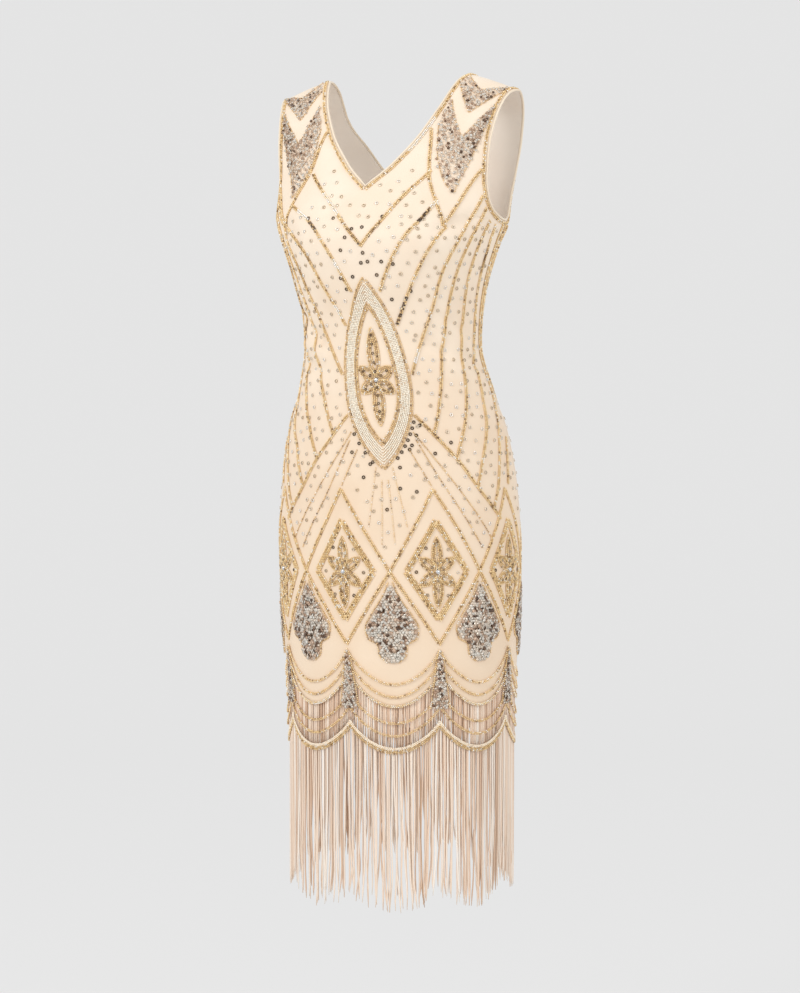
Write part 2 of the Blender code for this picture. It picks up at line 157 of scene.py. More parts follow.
NECKLINES = {
    Face.FRONT: edge_rows((0, 99.0), (29, 84.0), (70, 63.5), (113, 30.0), (140, 0)),
    Face.BACK: edge_rows((0, 99.0), (8, 100.5), (22, 101.8), (34, 101.0), (46, 97.0), (57, 90.5), (68, 81.5),
                         (101, 59.0), (135, 29.0), (165, 0)),
}
ARMHOLES = {
    Face.FRONT: edge_rows((0, 162.0), (20, 152.5), (52, 147.0), (90, 143.0), (126, 141.5), (150, 143.5),
                          (165, 146.5), (179, 152.0)),
    Face.BACK: edge_rows((0, 162.0), (34, 153.5), (72, 150.0), (116, 147.0), (155, 147.0), (170, 149.5),
                         (179, 152.0)),
}

# Soft creases: drags at the waist and hips of the front, and similar ones on the hidden sides.
CREASES = {
    Face.FRONT: (
        Crease(-64, 300, -34, 338, -4.8, 9),
        Crease(-70, 330, -30, 352, 3.5, 8),
        Crease(-66, 356, -38, 372, -4.3, 8),
        Crease(-80, 282, -56, 312, -3.5, 8),
        Crease(30, 330, 52, 352, -3.0, 9),
        Crease(44, 300, 78, 330, -2.6, 8),
        Crease(60, 350, 86, 366, -3.5, 8),
        Crease(-40, 420, -62, 480, -2.2, 12),
        Crease(36, 196, 62, 178, -3.9, 10),
        Crease(-36, 200, -60, 182, -3.5, 10),
        Crease(20, 470, 26, 640, -2.0, 16),
        Crease(-30, 500, -33, 690, -2.0, 15),
        Crease(-8, 150, -20, 176, -2.6, 8),
        Crease(4, 640, 2, 760, 2.2, 18),
    ),
    Face.BACK: (
        Crease(-60, 310, -12, 330, -5.7, 9),
        Crease(-44, 346, 14, 352, -4.8, 8),
        Crease(4, 322, 58, 304, -5.2, 9),
        Crease(20, 356, 66, 340, -3.9, 8),
        Crease(-30, 332, 30, 338, 3.5, 7),
        Crease(24, 190, 58, 180, -3.0, 10),
        Crease(-26, 192, -60, 182, -3.0, 10),
        Crease(12, 520, 18, 700, -2.2, 18),
        Crease(-24, 540, -28, 720, -2.6, 16),
    ),
}


def smooth_column(rows: Sequence, column: str, scale: float = MM) -> Callable[[Array], Array]:
    """Run a cubic through one column of a table, over the square root of the drop, without overshoot.

    Args:
        rows: the table, in order of drop.
        column: the name of the column.
        scale: what turns the column's unit into metres or radians.

    Returns:
        A function of an array of drops in metres.
    """
    runs = np.sqrt(np.array([row.drop for row in rows]) * MM)
    values = np.array([getattr(row, column) for row in rows], float) * scale
    widths, steps = np.diff(runs), np.diff(values) / np.diff(runs)
    before, after = steps[:-1], steps[1:]
    total = np.where(before + after == 0, 1.0, before + after)
    inner = np.where(before * after <= 0, 0.0, 2 * before * after / total)
    slopes = np.concatenate([steps[:1], inner, steps[-1:]])

    def value(drop: Array) -> Array:
        """Value of the column at each drop."""
        run = np.clip(np.sqrt(np.maximum(drop, 0.0)), runs[0], runs[-1])
        i = np.clip(np.searchsorted(runs, run, side="right") - 1, 0, len(steps) - 1)
        t = (run - runs[i]) / widths[i]
        return ((2 * t**3 - 3 * t**2 + 1) * values[i] + (t**3 - 2 * t**2 + t) * widths[i] * slopes[i]
                + (3 * t**2 - 2 * t**3) * values[i + 1] + (t**3 - t**2) * widths[i] * slopes[i + 1])

    return value


def unit(vectors: Array) -> Array:
    """Vectors of length 1 along the last axis."""
    return vectors / np.maximum(np.linalg.norm(vectors, axis=-1, keepdims=True), 1e-9)


@dataclass
class DressForm:
    """The shape that the worn dress holds, as a surface over angle and drop."""

    neck_half: float = 0.099
    shoulder_half: float = 0.162
    shoulder_rise: float = 0.011
    armhole: float = 0.179
    front_v: float = 0.140
    back_v: float = 0.165
    seam_gap: float = 0.0004
    bust_lift: float = 0.006
    bust_drop: float = 0.212
    bust_angle: float = math.radians(34.0)
    bust_reach: float = 0.050
    bust_spread: float = math.radians(26.0)
    crease_radius: float = 0.135      # turns a crease's angles into lengths
    repeats: int = 8
    scallop_power: float = 0.75
    edge: tuple[float, float] = (0.748, 0.792)
    trim: tuple[float, float] = (0.811, 0.846)
    fringe: tuple[float, float] = (1.029, 1.055)
    back_fringe_rise: float = 0.032

    def __post_init__(self) -> None:
        """Prepare the smooth columns."""
        self.span = {face: smooth_column(SECTIONS, f"{face.value}_span") for face in Face}
        self.face_y = {face: smooth_column(SECTIONS, f"{face.value}_y") for face in Face}
        self.side_y = smooth_column(SECTIONS, "side_y")
        self.shift = smooth_column(SECTIONS, "shift")
        self.turn = smooth_column(SECTIONS, "turn", math.radians(1.0))
        self.neck_x = {face: smooth_column(NECKLINES[face], "half") for face in Face}
        self.arm_x = {face: smooth_column(ARMHOLES[face], "half") for face in Face}
        self.v_drop = {Face.FRONT: self.front_v, Face.BACK: self.back_v}

    def _plain(self, face: Face, angle: Array, drop: Array) -> Array:
        """Points of the surface without its creases."""
        x = self.span[face](drop) * np.sin(angle)
        side = self.side_y(drop)
        y = side + (self.face_y[face](drop) - side) * np.cos(angle)
        if face is Face.FRONT:
            across = (np.abs(angle) - self.bust_angle) / self.bust_spread
            along = (drop - self.bust_drop) / self.bust_reach
            y = y - self.bust_lift * np.exp(-(across**2) - along**2)
        y = y + (self.seam_gap / 2 if face is Face.BACK else -self.seam_gap / 2)
        part = np.clip((np.abs(x) - self.neck_half) / (self.shoulder_half - self.neck_half), 0, 1)
        height = self.shoulder_rise * (1 - 2 * part**1.2)
        z = height * np.clip(1 - drop / self.armhole, 0, 1) ** 2 - drop
        x = x + self.shift(drop)
        turn = self.turn(drop)
        cos, sin = np.cos(turn), np.sin(turn)
        return np.stack([x * cos - y * sin, x * sin + y * cos, z], axis=-1)

    def _normal(self, face: Face, angle: Array, drop: Array) -> Array:
        """Unit normals of the surface without its creases, away from the wearer."""
        step_angle, step_run = 0.002, 0.0008
        run = np.maximum(np.sqrt(np.maximum(drop, 0)), step_run)
        across = self._plain(face, angle + step_angle, drop) - self._plain(face, angle - step_angle, drop)
        up = (self._plain(face, angle, (run - step_run) ** 2)
              - self._plain(face, angle, (run + step_run) ** 2))
        normal = unit(np.cross(across, up))
        return normal if face is Face.FRONT else -normal

    def relief(self, face: Face, angle: Array, drop: Array) -> Array:
        """Height of the creases over the plain surface, in metres."""
        height = np.zeros(np.broadcast(angle, drop).shape)
        for crease in CREASES[face]:
            start = np.array([math.radians(crease.angle_from) * self.crease_radius, crease.drop_from * MM])
            end = np.array([math.radians(crease.angle_to) * self.crease_radius, crease.drop_to * MM])
            along = end - start
            length = float(np.hypot(*along))
            along = along / length
            dx, dy = angle * self.crease_radius - start[0], drop - start[1]
            run = (dx * along[0] + dy * along[1]) / length
            off = (dx * along[1] - dy * along[0]) / (crease.width * MM)
            ends = 1 / (1 + np.exp(-(run - 0.08) * 22)) / (1 + np.exp((run - 0.92) * 22))
            height += crease.depth * MM * np.exp(-(off**2)) * ends
        return height

    def place(self, face: Face, angle: Array, drop: Array, out: Array | float = 0.0) -> tuple[Array, Array]:
        """Points over the creased surface.

        Args:
            face: front or back.
            angle: angles, in radians.
            drop: drops, in metres.
            out: distance from the surface, outwards.

        Returns:
            The points and the unit normals there.
        """
        angle, drop = np.broadcast_arrays(np.asarray(angle, float), np.asarray(drop, float))
        normal = self._normal(face, angle, drop)
        height = self.relief(face, angle, drop) + out
        return self._plain(face, angle, drop) + normal * np.asarray(height)[..., None], normal

    def place_round(self, around: Array, drop: Array, out: Array | float = 0.0) -> tuple[Array, Array]:
        """Points over the surface all round: around is 0 at the centre front, 180 degrees at the back."""
        around, drop = np.broadcast_arrays(np.asarray(around, float), np.asarray(drop, float))
        around = (around + math.pi) % (2 * math.pi) - math.pi
        on_front = np.abs(around) <= math.pi / 2
        behind = np.copysign(math.pi - np.abs(around), around)
        front = self.place(Face.FRONT, np.where(on_front, around, 0), drop, out)
        back = self.place(Face.BACK, np.where(on_front, 0, behind), drop, out)
        return tuple(np.where(on_front[..., None], f, b) for f, b in zip(front, back))

    def placer(self, face: Face | None) -> Callable[..., tuple[Array, Array]]:
        """The placing function of a panel, or the one all round where there is no panel."""
        return self.place_round if face is None else partial(self.place, face)

    def inner_angle(self, face: Face, drop: Array) -> Array:
        """Angle of the neckline, or 0 below its point."""
        angle = np.arcsin(np.clip(self.neck_x[face](drop) / self.span[face](drop), 0, 1))
        return np.where(drop < self.v_drop[face], angle, 0.0)

    def outer_angle(self, face: Face, drop: Array) -> Array:
        """Angle of the armhole's edge, or of the side seam below it."""
        angle = np.arcsin(np.clip(self.arm_x[face](drop) / self.span[face](drop), 0, 1))
        return np.where(drop < self.armhole, angle, math.pi / 2)

    def strap_angle(self, face: Face, across: Array, drop: Array) -> Array:
        """Angle at a part of the way from the neckline (0) to the armhole (1)."""
        inner = self.inner_angle(face, drop)
        return inner + (self.outer_angle(face, drop) - inner) * across

    def scallop(self, angle: Array, line: tuple[float, float]) -> Array:
        """Drop of a scalloped line: high at the lozenges' middles, low between them."""
        across = np.abs(np.cos(np.asarray(angle) * self.repeats / 2))
        return line[0] + (line[1] - line[0]) * across**self.scallop_power

    def fringe_end(self, around: Array) -> Array:
        """Drop of the fringe's end, which rises towards the centre back."""
        return self.scallop(around, self.fringe) - self.back_fringe_rise * (0.5 - 0.5 * np.cos(around))

    def girth(self, drop: float) -> float:
        """Length once round the dress at a drop."""
        points = self.place_round(np.linspace(-math.pi, math.pi, 181), np.full(181, drop))[0]
        return float(np.linalg.norm(np.diff(points, axis=0), axis=1).sum())


# ---------------------------------------------------------------- finishes
def shader_of(material: bpy.types.Material) -> bpy.types.Node:
    """The Principled shader of a material."""
    return material.node_tree.nodes["Principled BSDF"]


def new_material(name: str) -> bpy.types.Material:
    """Make an empty Principled material."""
    material = bpy.data.materials.new(name)
    material.use_nodes = True
    return material


def add_noise(material: bpy.types.Material, scale: float, detail: float) -> bpy.types.Node:
    """Add a noise texture on the object's own coordinates, in metres, and return its node."""
    nodes = material.node_tree.nodes
    coords, noise = nodes.new("ShaderNodeTexCoord"), nodes.new("ShaderNodeTexNoise")
    noise.inputs["Scale"].default_value = scale
    noise.inputs["Detail"].default_value = detail
    material.node_tree.links.new(coords.outputs["Object"], noise.inputs["Vector"])
    return noise


def add_ramp(material: bpy.types.Material, source: bpy.types.NodeSocket,
             stops: Sequence[tuple[float, Colour]]) -> bpy.types.Node:
    """Colour the shader by a ramp over another node's output."""
    nodes, links = material.node_tree.nodes, material.node_tree.links
    ramp = nodes.new("ShaderNodeValToRGB")
    elements = ramp.color_ramp.elements
    while len(elements) < len(stops):
        elements.new(0.5)
    for element, (place, colour) in zip(elements, stops):
        element.position = place
        element.color = (*colour, 1.0)
    links.new(source, ramp.inputs["Fac"])
    links.new(ramp.outputs["Color"], shader_of(material).inputs["Base Color"])
    return ramp


def add_bump(material: bpy.types.Material, height: bpy.types.NodeSocket, strength: float,
             distance: float) -> None:
    """Bump the shader by a height in metres."""
    nodes, links = material.node_tree.nodes, material.node_tree.links
    bump = nodes.new("ShaderNodeBump")
    bump.inputs["Strength"].default_value = strength
    bump.inputs["Distance"].default_value = distance
    links.new(height, bump.inputs["Height"])
    links.new(bump.outputs["Normal"], shader_of(material).inputs["Normal"])


@dataclass(frozen=True)
class ClothFinish:
    """Woven cloth: a soft colour in soft blotches, partly real tint and partly painted shade, a fine weave
    and a low sheen.
    """

    name: str
    light: Colour
    shade: Colour
    roughness: float = 0.62
    sheen: float = 0.25
    weave: float = 1500.0             # threads over a metre
    weave_depth: float = 0.00006
    tint_and_painted_shade_mottle: float = 14.0
    low: Colour | None = None     # light colour at the hips, if it changes
    low_from: float = -0.20
    low_to: float = -0.56

    def make(self) -> bpy.types.Material:
        """Build the material."""
        material = new_material(self.name)
        nodes, links = material.node_tree.nodes, material.node_tree.links
        shader = shader_of(material)
        shader.inputs["Roughness"].default_value = self.roughness
        shader.inputs["Sheen Weight"].default_value = self.sheen
        shader.inputs["Sheen Roughness"].default_value = 0.4
        shader.inputs["Specular IOR Level"].default_value = 0.3
        # painted shade: soft noise blotches mix the light and shade colours, partly a real tint and partly
        # standing for soft shading
        tint_and_painted_shade_mottle = add_noise(material, self.tint_and_painted_shade_mottle, 3.0)
        ramp = add_ramp(material, tint_and_painted_shade_mottle.outputs["Fac"], ((0.30, self.shade), (0.62, self.light)))
        coords = nodes.new("ShaderNodeTexCoord")
        if self.low:
            height = nodes.new("ShaderNodeSeparateXYZ")
            part = nodes.new("ShaderNodeMapRange")
            part.inputs["From Min"].default_value = self.low_from
            part.inputs["From Max"].default_value = self.low_to
            tint = nodes.new("ShaderNodeMix")
            tint.data_type, tint.blend_type = "RGBA", "MULTIPLY"
            links.new(coords.outputs["Object"], height.inputs["Vector"])
            links.new(height.outputs["Z"], part.inputs["Value"])
            links.new(part.outputs["Result"], tint.inputs["Factor"])
            links.new(ramp.outputs["Color"], tint.inputs["A"])
            tint.inputs["B"].default_value = (*self.low, 1.0)
            links.new(tint.outputs["Result"], shader.inputs["Base Color"])
        warp = nodes.new("ShaderNodeTexWave")
        warp.wave_type, warp.bands_direction = "BANDS", "Z"
        warp.inputs["Scale"].default_value = self.weave / 20
        warp.inputs["Distortion"].default_value = 1.5
        grain = add_noise(material, self.weave, 2.0)
        both = nodes.new("ShaderNodeMath")
        both.operation = "ADD"
        links.new(coords.outputs["Object"], warp.inputs["Vector"])
        links.new(warp.outputs["Fac"], both.inputs[0])
        links.new(grain.outputs["Fac"], both.inputs[1])
        add_bump(material, both.outputs[0], 0.25, self.weave_depth)
        return material


@dataclass(frozen=True)
class BeadFinish:
    """Small glossy things whose colour comes from their own tone, from 0 to 1."""

    name: str
    tones: tuple[tuple[float, Colour], ...]
    metallic: float
    roughness: float
    coat: float = 0.0

    def make(self) -> bpy.types.Material:
        """Build the material."""
        material = new_material(self.name)
        shader = shader_of(material)
        shader.inputs["Metallic"].default_value = self.metallic
        shader.inputs["Roughness"].default_value = self.roughness
        shader.inputs["Coat Weight"].default_value = self.coat
        shader.inputs["Coat Roughness"].default_value = 0.08
        tone = material.node_tree.nodes.new("ShaderNodeAttribute")
        tone.attribute_name = "tone"
        add_ramp(material, tone.outputs["Fac"], self.tones)
        return material


@dataclass(frozen=True)
class StrandFinish:
    """Twisted chainette: soft peach strands, each with its own tone, and a fine twist."""

    name: str
    tones: tuple[tuple[float, Colour], ...]
    twist: float = 260.0

    def make(self) -> bpy.types.Material:
        """Build the material."""
        material = new_material(self.name)
        nodes, links = material.node_tree.nodes, material.node_tree.links
        shader = shader_of(material)
        shader.inputs["Roughness"].default_value = 0.5
        shader.inputs["Sheen Weight"].default_value = 0.3
        shader.inputs["Sheen Roughness"].default_value = 0.35
        tone = nodes.new("ShaderNodeAttribute")
        tone.attribute_name = "tone"
        add_ramp(material, tone.outputs["Fac"], self.tones)
        coords = nodes.new("ShaderNodeTexCoord")
        wave = nodes.new("ShaderNodeTexWave")
        wave.wave_type, wave.bands_direction = "BANDS", "Z"
        wave.inputs["Scale"].default_value = self.twist / 2
        wave.inputs["Distortion"].default_value = 2.0
        links.new(coords.outputs["Object"], wave.inputs["Vector"])
        add_bump(material, wave.outputs["Fac"], 0.35, 0.0002)
        return material


@dataclass(frozen=True)
class StoneFinish:
    """Clear cut stone with a foiled back, so it is bright and not see-through."""

    name: str = "crystal"

    def make(self) -> bpy.types.Material:
        """Build the material."""
        material = new_material(self.name)
        shader = shader_of(material)
        shader.inputs["Metallic"].default_value = 0.7
        shader.inputs["Roughness"].default_value = 0.06
        shader.inputs["Coat Weight"].default_value = 1.0
        glint = add_noise(material, 900.0, 1.0)
        add_ramp(material, glint.outputs["Fac"], ((0.40, (0.42, 0.44, 0.48)), (0.60, (0.97, 0.98, 1.0))))
        return material


GOLD_TONES = ((0.00, (0.060, 0.032, 0.015)), (0.16, (0.27, 0.15, 0.060)), (0.34, (0.71, 0.48, 0.22)),
              (0.62, (0.94, 0.71, 0.39)), (0.82, (0.98, 0.84, 0.60)), (1.00, (0.99, 0.96, 0.92)))
# Sequin ramp: its dark and brown stops give painted shade on and between the sequins, and its whitest stop
# gives painted glints.
SILVER_TONES_WITH_PAINTED_LIGHT = ((0.00, (0.10, 0.050, 0.026)), (0.20, (0.36, 0.20, 0.12)), (0.40, (0.86, 0.62, 0.45)),
                (0.62, (1.00, 0.84, 0.68)), (1.00, (1.00, 0.95, 0.86)))
RING_TONES = ((0.00, (0.035, 0.022, 0.012)), (0.18, (0.20, 0.13, 0.07)), (0.50, (0.70, 0.57, 0.41)),
              (0.80, (0.90, 0.82, 0.70)), (1.00, (0.99, 0.96, 0.91)))
WHITE_TONES = ((0.00, (0.72, 0.53, 0.36)), (0.35, (0.97, 0.80, 0.61)), (1.00, (1.00, 0.93, 0.79)))
STRAND_TONES = ((0.00, (0.50, 0.31, 0.19)), (0.30, (0.77, 0.55, 0.40)), (0.60, (0.91, 0.73, 0.58)),
                (1.00, (0.97, 0.89, 0.80)))


class Wardrobe:
    """The dress's materials, each made once."""

    def __init__(self) -> None:
        """Make every finish."""
        self.cloth = ClothFinish("cream_cloth", (0.93, 0.795, 0.645), (0.89, 0.735, 0.575),
                                 low=(0.955, 0.90, 0.84)).make()
        self.satin = ClothFinish("inner_satin", (0.97, 0.89, 0.80), (0.94, 0.84, 0.74), 0.42, 0.1).make()
        self.piping = ClothFinish("piping", (0.90, 0.78, 0.62), (0.86, 0.72, 0.56), 0.45, 0.2, 2200).make()
        self.gold = BeadFinish("gold_bead", GOLD_TONES, 0.45, 0.30, 0.3).make()
        self.silver = BeadFinish("silver_sequin", SILVER_TONES_WITH_PAINTED_LIGHT, 0.10, 0.28, 0.5).make()
        self.white = BeadFinish("white_bead", WHITE_TONES, 0.0, 0.25, 0.5).make()
        self.ring = BeadFinish("ring_sequin", RING_TONES, 0.45, 0.25, 0.4).make()
        self.strand = StrandFinish("chainette", STRAND_TONES).make()
        self.stone = StoneFinish().make()


# ---------------------------------------------------------------- meshes
def add_grid(bm: bmesh.types.BMesh, points: Array) -> None:
    """Add a grid to a bmesh and bend it to an array of columns by rows by 3."""
    columns, rows = points.shape[0] - 1, points.shape[1] - 1
    made = bmesh.ops.create_grid(bm, x_segments=columns, y_segments=rows, size=0.5)
    for vert in made["verts"]:
        vert.co = points[round((vert.co.x + 0.5) * columns), round((vert.co.y + 0.5) * rows)]


def finish_grid(name: str, bm: bmesh.types.BMesh, flip: bool) -> bpy.types.Object:
    """Merge a bmesh's doubles, turn its faces if needed and make it an object."""
    bmesh.ops.remove_doubles(bm, verts=bm.verts, dist=0.00002)
    if flip:
        bmesh.ops.reverse_faces(bm, faces=bm.faces)
    mesh = bpy.data.meshes.new(name)
    bm.to_mesh(mesh)
    bm.free()
    mesh.shade_smooth()
    return link(bpy.data.objects.new(name, mesh))


def link(piece: bpy.types.Object) -> bpy.types.Object:
    """Put an object into the scene."""
    bpy.context.scene.collection.objects.link(piece)
    return piece


def dress(piece: bpy.types.Object, slot: str, *materials: bpy.types.Material) -> bpy.types.Object:
    """Give a piece its materials and its body."""
    for material in materials:
        piece.data.materials.append(material)
    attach(piece, ROOT)
    LOG.info("%s: %d faces", piece.name, len(piece.data.polygons) if piece.type == "MESH" else 0)
    return piece


def wall(piece: bpy.types.Object, thickness: float, inside: bool = False) -> None:
    """Give an open surface a wall that grows inwards, with its own finish inside if asked."""
    shell = piece.modifiers.new("Wall", "SOLIDIFY")
    shell.thickness = thickness
    shell.offset = -1.0
    shell.use_even_offset = False
    shell.material_offset = 1 if inside else 0


def template(kind: Trinket) -> tuple[Array, Array]:
    """Model one small thing about 1 unit in radius, its face towards +Z.

    Args:
        kind: what to model.

    Returns:
        Its corners, and its triangles as corner numbers.
    """
    bm = bmesh.new()
    if kind is Trinket.SEED:
        bmesh.ops.create_icosphere(bm, subdivisions=1, radius=1.0)
        bmesh.ops.scale(bm, vec=(1.0, 0.86, 0.9), verts=bm.verts)
    elif kind is Trinket.CUP:
        bmesh.ops.create_cone(bm, cap_ends=True, segments=7, radius1=0.55, radius2=1.0, depth=0.20)
    elif kind is Trinket.RING:
        profile = [bm.verts.new(place) for place in ((0.38, 0, 0.0), (1.0, 0, 0.0), (0.72, 0, 0.34))]
        edges = [bm.edges.new((profile[i], profile[(i + 1) % 3])) for i in range(3)]
        bmesh.ops.spin(bm, geom=profile + edges, cent=(0, 0, 0), axis=(0, 0, 1), angle=math.tau,
                       steps=10, use_merge=True)
    else:
        bmesh.ops.create_cone(bm, cap_ends=True, segments=10, radius1=1.0, radius2=0.52, depth=0.55)
    bmesh.ops.recalc_face_normals(bm, faces=bm.faces)
    bmesh.ops.triangulate(bm, faces=bm.faces)
    bm.verts.index_update()
    corners = np.array([vert.co for vert in bm.verts])
    triangles = np.array([[vert.index for vert in face.verts] for face in bm.faces])
    bm.free()
    return corners, triangles


@dataclass
class Sewing:
    """A growing set of one kind of small thing, which becomes one joined mesh."""

    kind: Trinket
    seed: int
    points: list[Array] = field(default_factory=list)
    normals: list[Array] = field(default_factory=list)
    tangents: list[Array] = field(default_factory=list)
    sizes: list[Array] = field(default_factory=list)
    tones: list[Array] = field(default_factory=list)

    def __post_init__(self) -> None:
        """Seed the set's own random numbers."""
        self.random = np.random.default_rng(self.seed)

    def add(self, points: Array, normals: Array, tangents: Array, size: Array | float,
            tones: Array) -> None:
        """Sew on one thing at each point."""
        if len(points) == 0:
            return
        self.points.append(points)
        self.normals.append(normals)
        self.tangents.append(tangents)
        self.sizes.append(np.broadcast_to(size, len(points)).astype(float))
        self.tones.append(np.clip(tones, 0, 1))

    def build(self, name: str, smooth: bool = True) -> bpy.types.Object:
        """Join everything into one mesh, with each thing's tone as an attribute."""
        corners, triangles = template(self.kind)
        points, normals = np.concatenate(self.points), np.concatenate(self.normals)
        tangents, sizes = np.concatenate(self.tangents), np.concatenate(self.sizes)
        tones = np.concatenate(self.tones)
        side = unit(np.cross(normals, tangents))
        ahead = np.cross(side, normals)
        scaled = corners[None] * sizes[:, None, None]
        verts = (points[:, None] + scaled[..., :1] * ahead[:, None] + scaled[..., 1:2] * side[:, None]
                 + scaled[..., 2:] * normals[:, None]).reshape(-1, 3)
        faces = (triangles[None] + (np.arange(len(points)) * len(corners))[:, None, None]).reshape(-1)
        piece = joined(name, verts, faces, np.arange(0, len(faces), 3), np.repeat(tones, len(corners)))
        if smooth:
            piece.data.shade_smooth()
        return piece


def joined(name: str, verts: Array, corners: Array, starts: Array, tones: Array) -> bpy.types.Object:
    """Make one object of many small things.

    Args:
        name: the object's name.
        verts: all corners' places.
        corners: the corner numbers of face after face.
        starts: where each face starts in them.
        tones: each corner's tone.

    Returns:
        The object, with the tones as an attribute.
    """
    mesh = bpy.data.meshes.new(name)
    mesh.vertices.add(len(verts))
    mesh.vertices.foreach_set("co", verts.ravel())
    mesh.loops.add(len(corners))
    mesh.loops.foreach_set("vertex_index", corners)
    mesh.polygons.add(len(starts))
    mesh.polygons.foreach_set("loop_start", starts)
    mesh.update(calc_edges=True)
    tone = mesh.attributes.new("tone", "FLOAT", "POINT")
    tone.data.foreach_set("value", tones)
    return link(bpy.data.objects.new(name, mesh))


def resample(path: Array, pitch: float) -> Array:
    """Even places along a polyline of any dimension, given as fractions of its index.

    Args:
        path: points in space.
        pitch: distance between places.

    Returns:
        The fractional index of each place.
    """
    lengths = np.concatenate([[0], np.cumsum(np.linalg.norm(np.diff(path, axis=0), axis=1))])
    count = max(int(lengths[-1] / pitch), 1)
    return np.interp((np.arange(count) + 0.5) / count * lengths[-1], lengths, np.arange(len(path)))


def spline(knots: Sequence[Place], steps: int = 12) -> Array:
    """Run a Catmull-Rom curve through knots given in degrees and millimetres, in radians and metres."""
    places = np.array(knots, float) * (math.radians(1.0), MM)
    if len(places) == 2:
        return places[0] + (places[1] - places[0]) * np.linspace(0, 1, steps * 2)[:, None]
    padded = np.vstack([2 * places[0] - places[1], places, 2 * places[-1] - places[-2]])
    t = np.linspace(0, 1, steps, endpoint=False)[:, None]
    curve = []
    for a, b, c, d in zip(padded, padded[1:], padded[2:], padded[3:]):
        curve.append(0.5 * (2 * b + (c - a) * t + (2 * a - 5 * b + 4 * c - d) * t**2
                            + (3 * b - a - 3 * c + d) * t**3))
    return np.vstack([*curve, places[-1:]])


@dataclass
class Embroiderer:
    """Sews lines and patches of small things onto the form."""

    form: DressForm

    def line(self, sewing: Sewing, face: Face | None, path: Array, rows: int = 2, pitch: float = 0.0025,
             spread: float = 0.0023, size: float = 0.00142, tone: float = 0.56,
             sparkle: Sequence[Stretch] = (), out: float = 0.0007) -> None:
        """Sew rows of beads along a path.

        Args:
            sewing: where the beads go.
            face: the panel, or None where the path's angles run all round.
            path: angles and drops along the line.
            rows: how many rows lie side by side.
            pitch: distance between beads.
            spread: distance between rows.
            size: a bead's radius.
            tone: the mean tone.
            sparkle: stretches of another tone: start and end from 0 to 1, and the tone.
            out: height over the cloth.
        """
        place = self.form.placer(face)
        index = np.arange(len(path))
        spaces = place(path[:, 0], path[:, 1], 0.0)[0]
        at = resample(spaces, pitch)
        small = 0.35
        for row in range(rows):
            shift = at + (0.5 if row % 2 else 0.0) * (at[1] - at[0] if len(at) > 1 else 0)
            shift = np.clip(shift, 0, len(path) - 1)
            angle, drop = (np.interp(shift, index, path[:, k]) for k in (0, 1))
            ahead_at = np.clip(shift + small, 0, len(path) - 1)
            behind_at = np.clip(shift - small, 0, len(path) - 1)
            ahead = place(*(np.interp(ahead_at, index, path[:, k]) for k in (0, 1)), 0.0)[0]
            behind = place(*(np.interp(behind_at, index, path[:, k]) for k in (0, 1)), 0.0)[0]
            points, normals = place(angle, drop, out)
            along = unit(ahead - behind)
            side = np.cross(normals, along)
            random = sewing.random
            jitter = random.normal(0, 0.00008, (len(points), 1))
            points = points + side * ((row - (rows - 1) / 2) * spread + jitter)
            part = shift / max(len(path) - 1, 1)
            tones = tone + random.normal(0, 0.11, len(points))
            glints = random.random(len(points))
            tones = np.where(glints > 0.93, 0.95, np.where(glints < 0.05, 0.20, tones))
            for start, end, other in sparkle:
                inside = (part >= start) & (part <= end)
                mixed = np.where(random.random(len(points)) < 0.30, 0.5, other)
                other_tones = (mixed if other < 0.5 else other) + random.normal(0, 0.09, len(points))
                tones = np.where(inside, other_tones, tones)
            sizes = size * random.normal(1.0, 0.06, len(points))
            sewing.add(points, normals, along, sizes, tones)

    def patch(self, sewing: Sewing, face: Face | None, places: Array, size: float, tilt: float,
              tone: Callable[[Array], Array], out: float = 0.0012) -> None:
        """Sew a patch of overlapping sequins, each tilted a little its own way.

        Args:
            sewing: where the sequins go.
            face: the panel, or None where the angles run all round.
            places: angles and drops.
            size: a sequin's radius.
            tilt: spread of the tilt, as a slope.
            tone: makes tones from random numbers.
            out: height over the cloth.
        """
        place = self.form.placer(face)
        random = sewing.random
        count = len(places)
        heights = out + random.random(count) * 0.0012
        points, normals = place(places[:, 0], places[:, 1], heights)
        normals = unit(normals + random.normal(0, tilt, (count, 3)))
        tangents = random.normal(0, 1, (count, 3))
        sizes = size * random.uniform(0.85, 1.12, count)
        sewing.add(points, normals, tangents, sizes, tone(random.random(count)))


def hexagon_field(low: Place, high: Place, pitch: float) -> Array:
    """Places of a close-packed field over a flat rectangle, in metres."""
    rise = pitch * math.sqrt(0.75)
    rows = np.arange(low[1], high[1] + rise, rise)
    return np.array([(x + (pitch / 2 if i % 2 else 0), y)
                     for i, y in enumerate(rows) for x in np.arange(low[0], high[0] + pitch, pitch)])


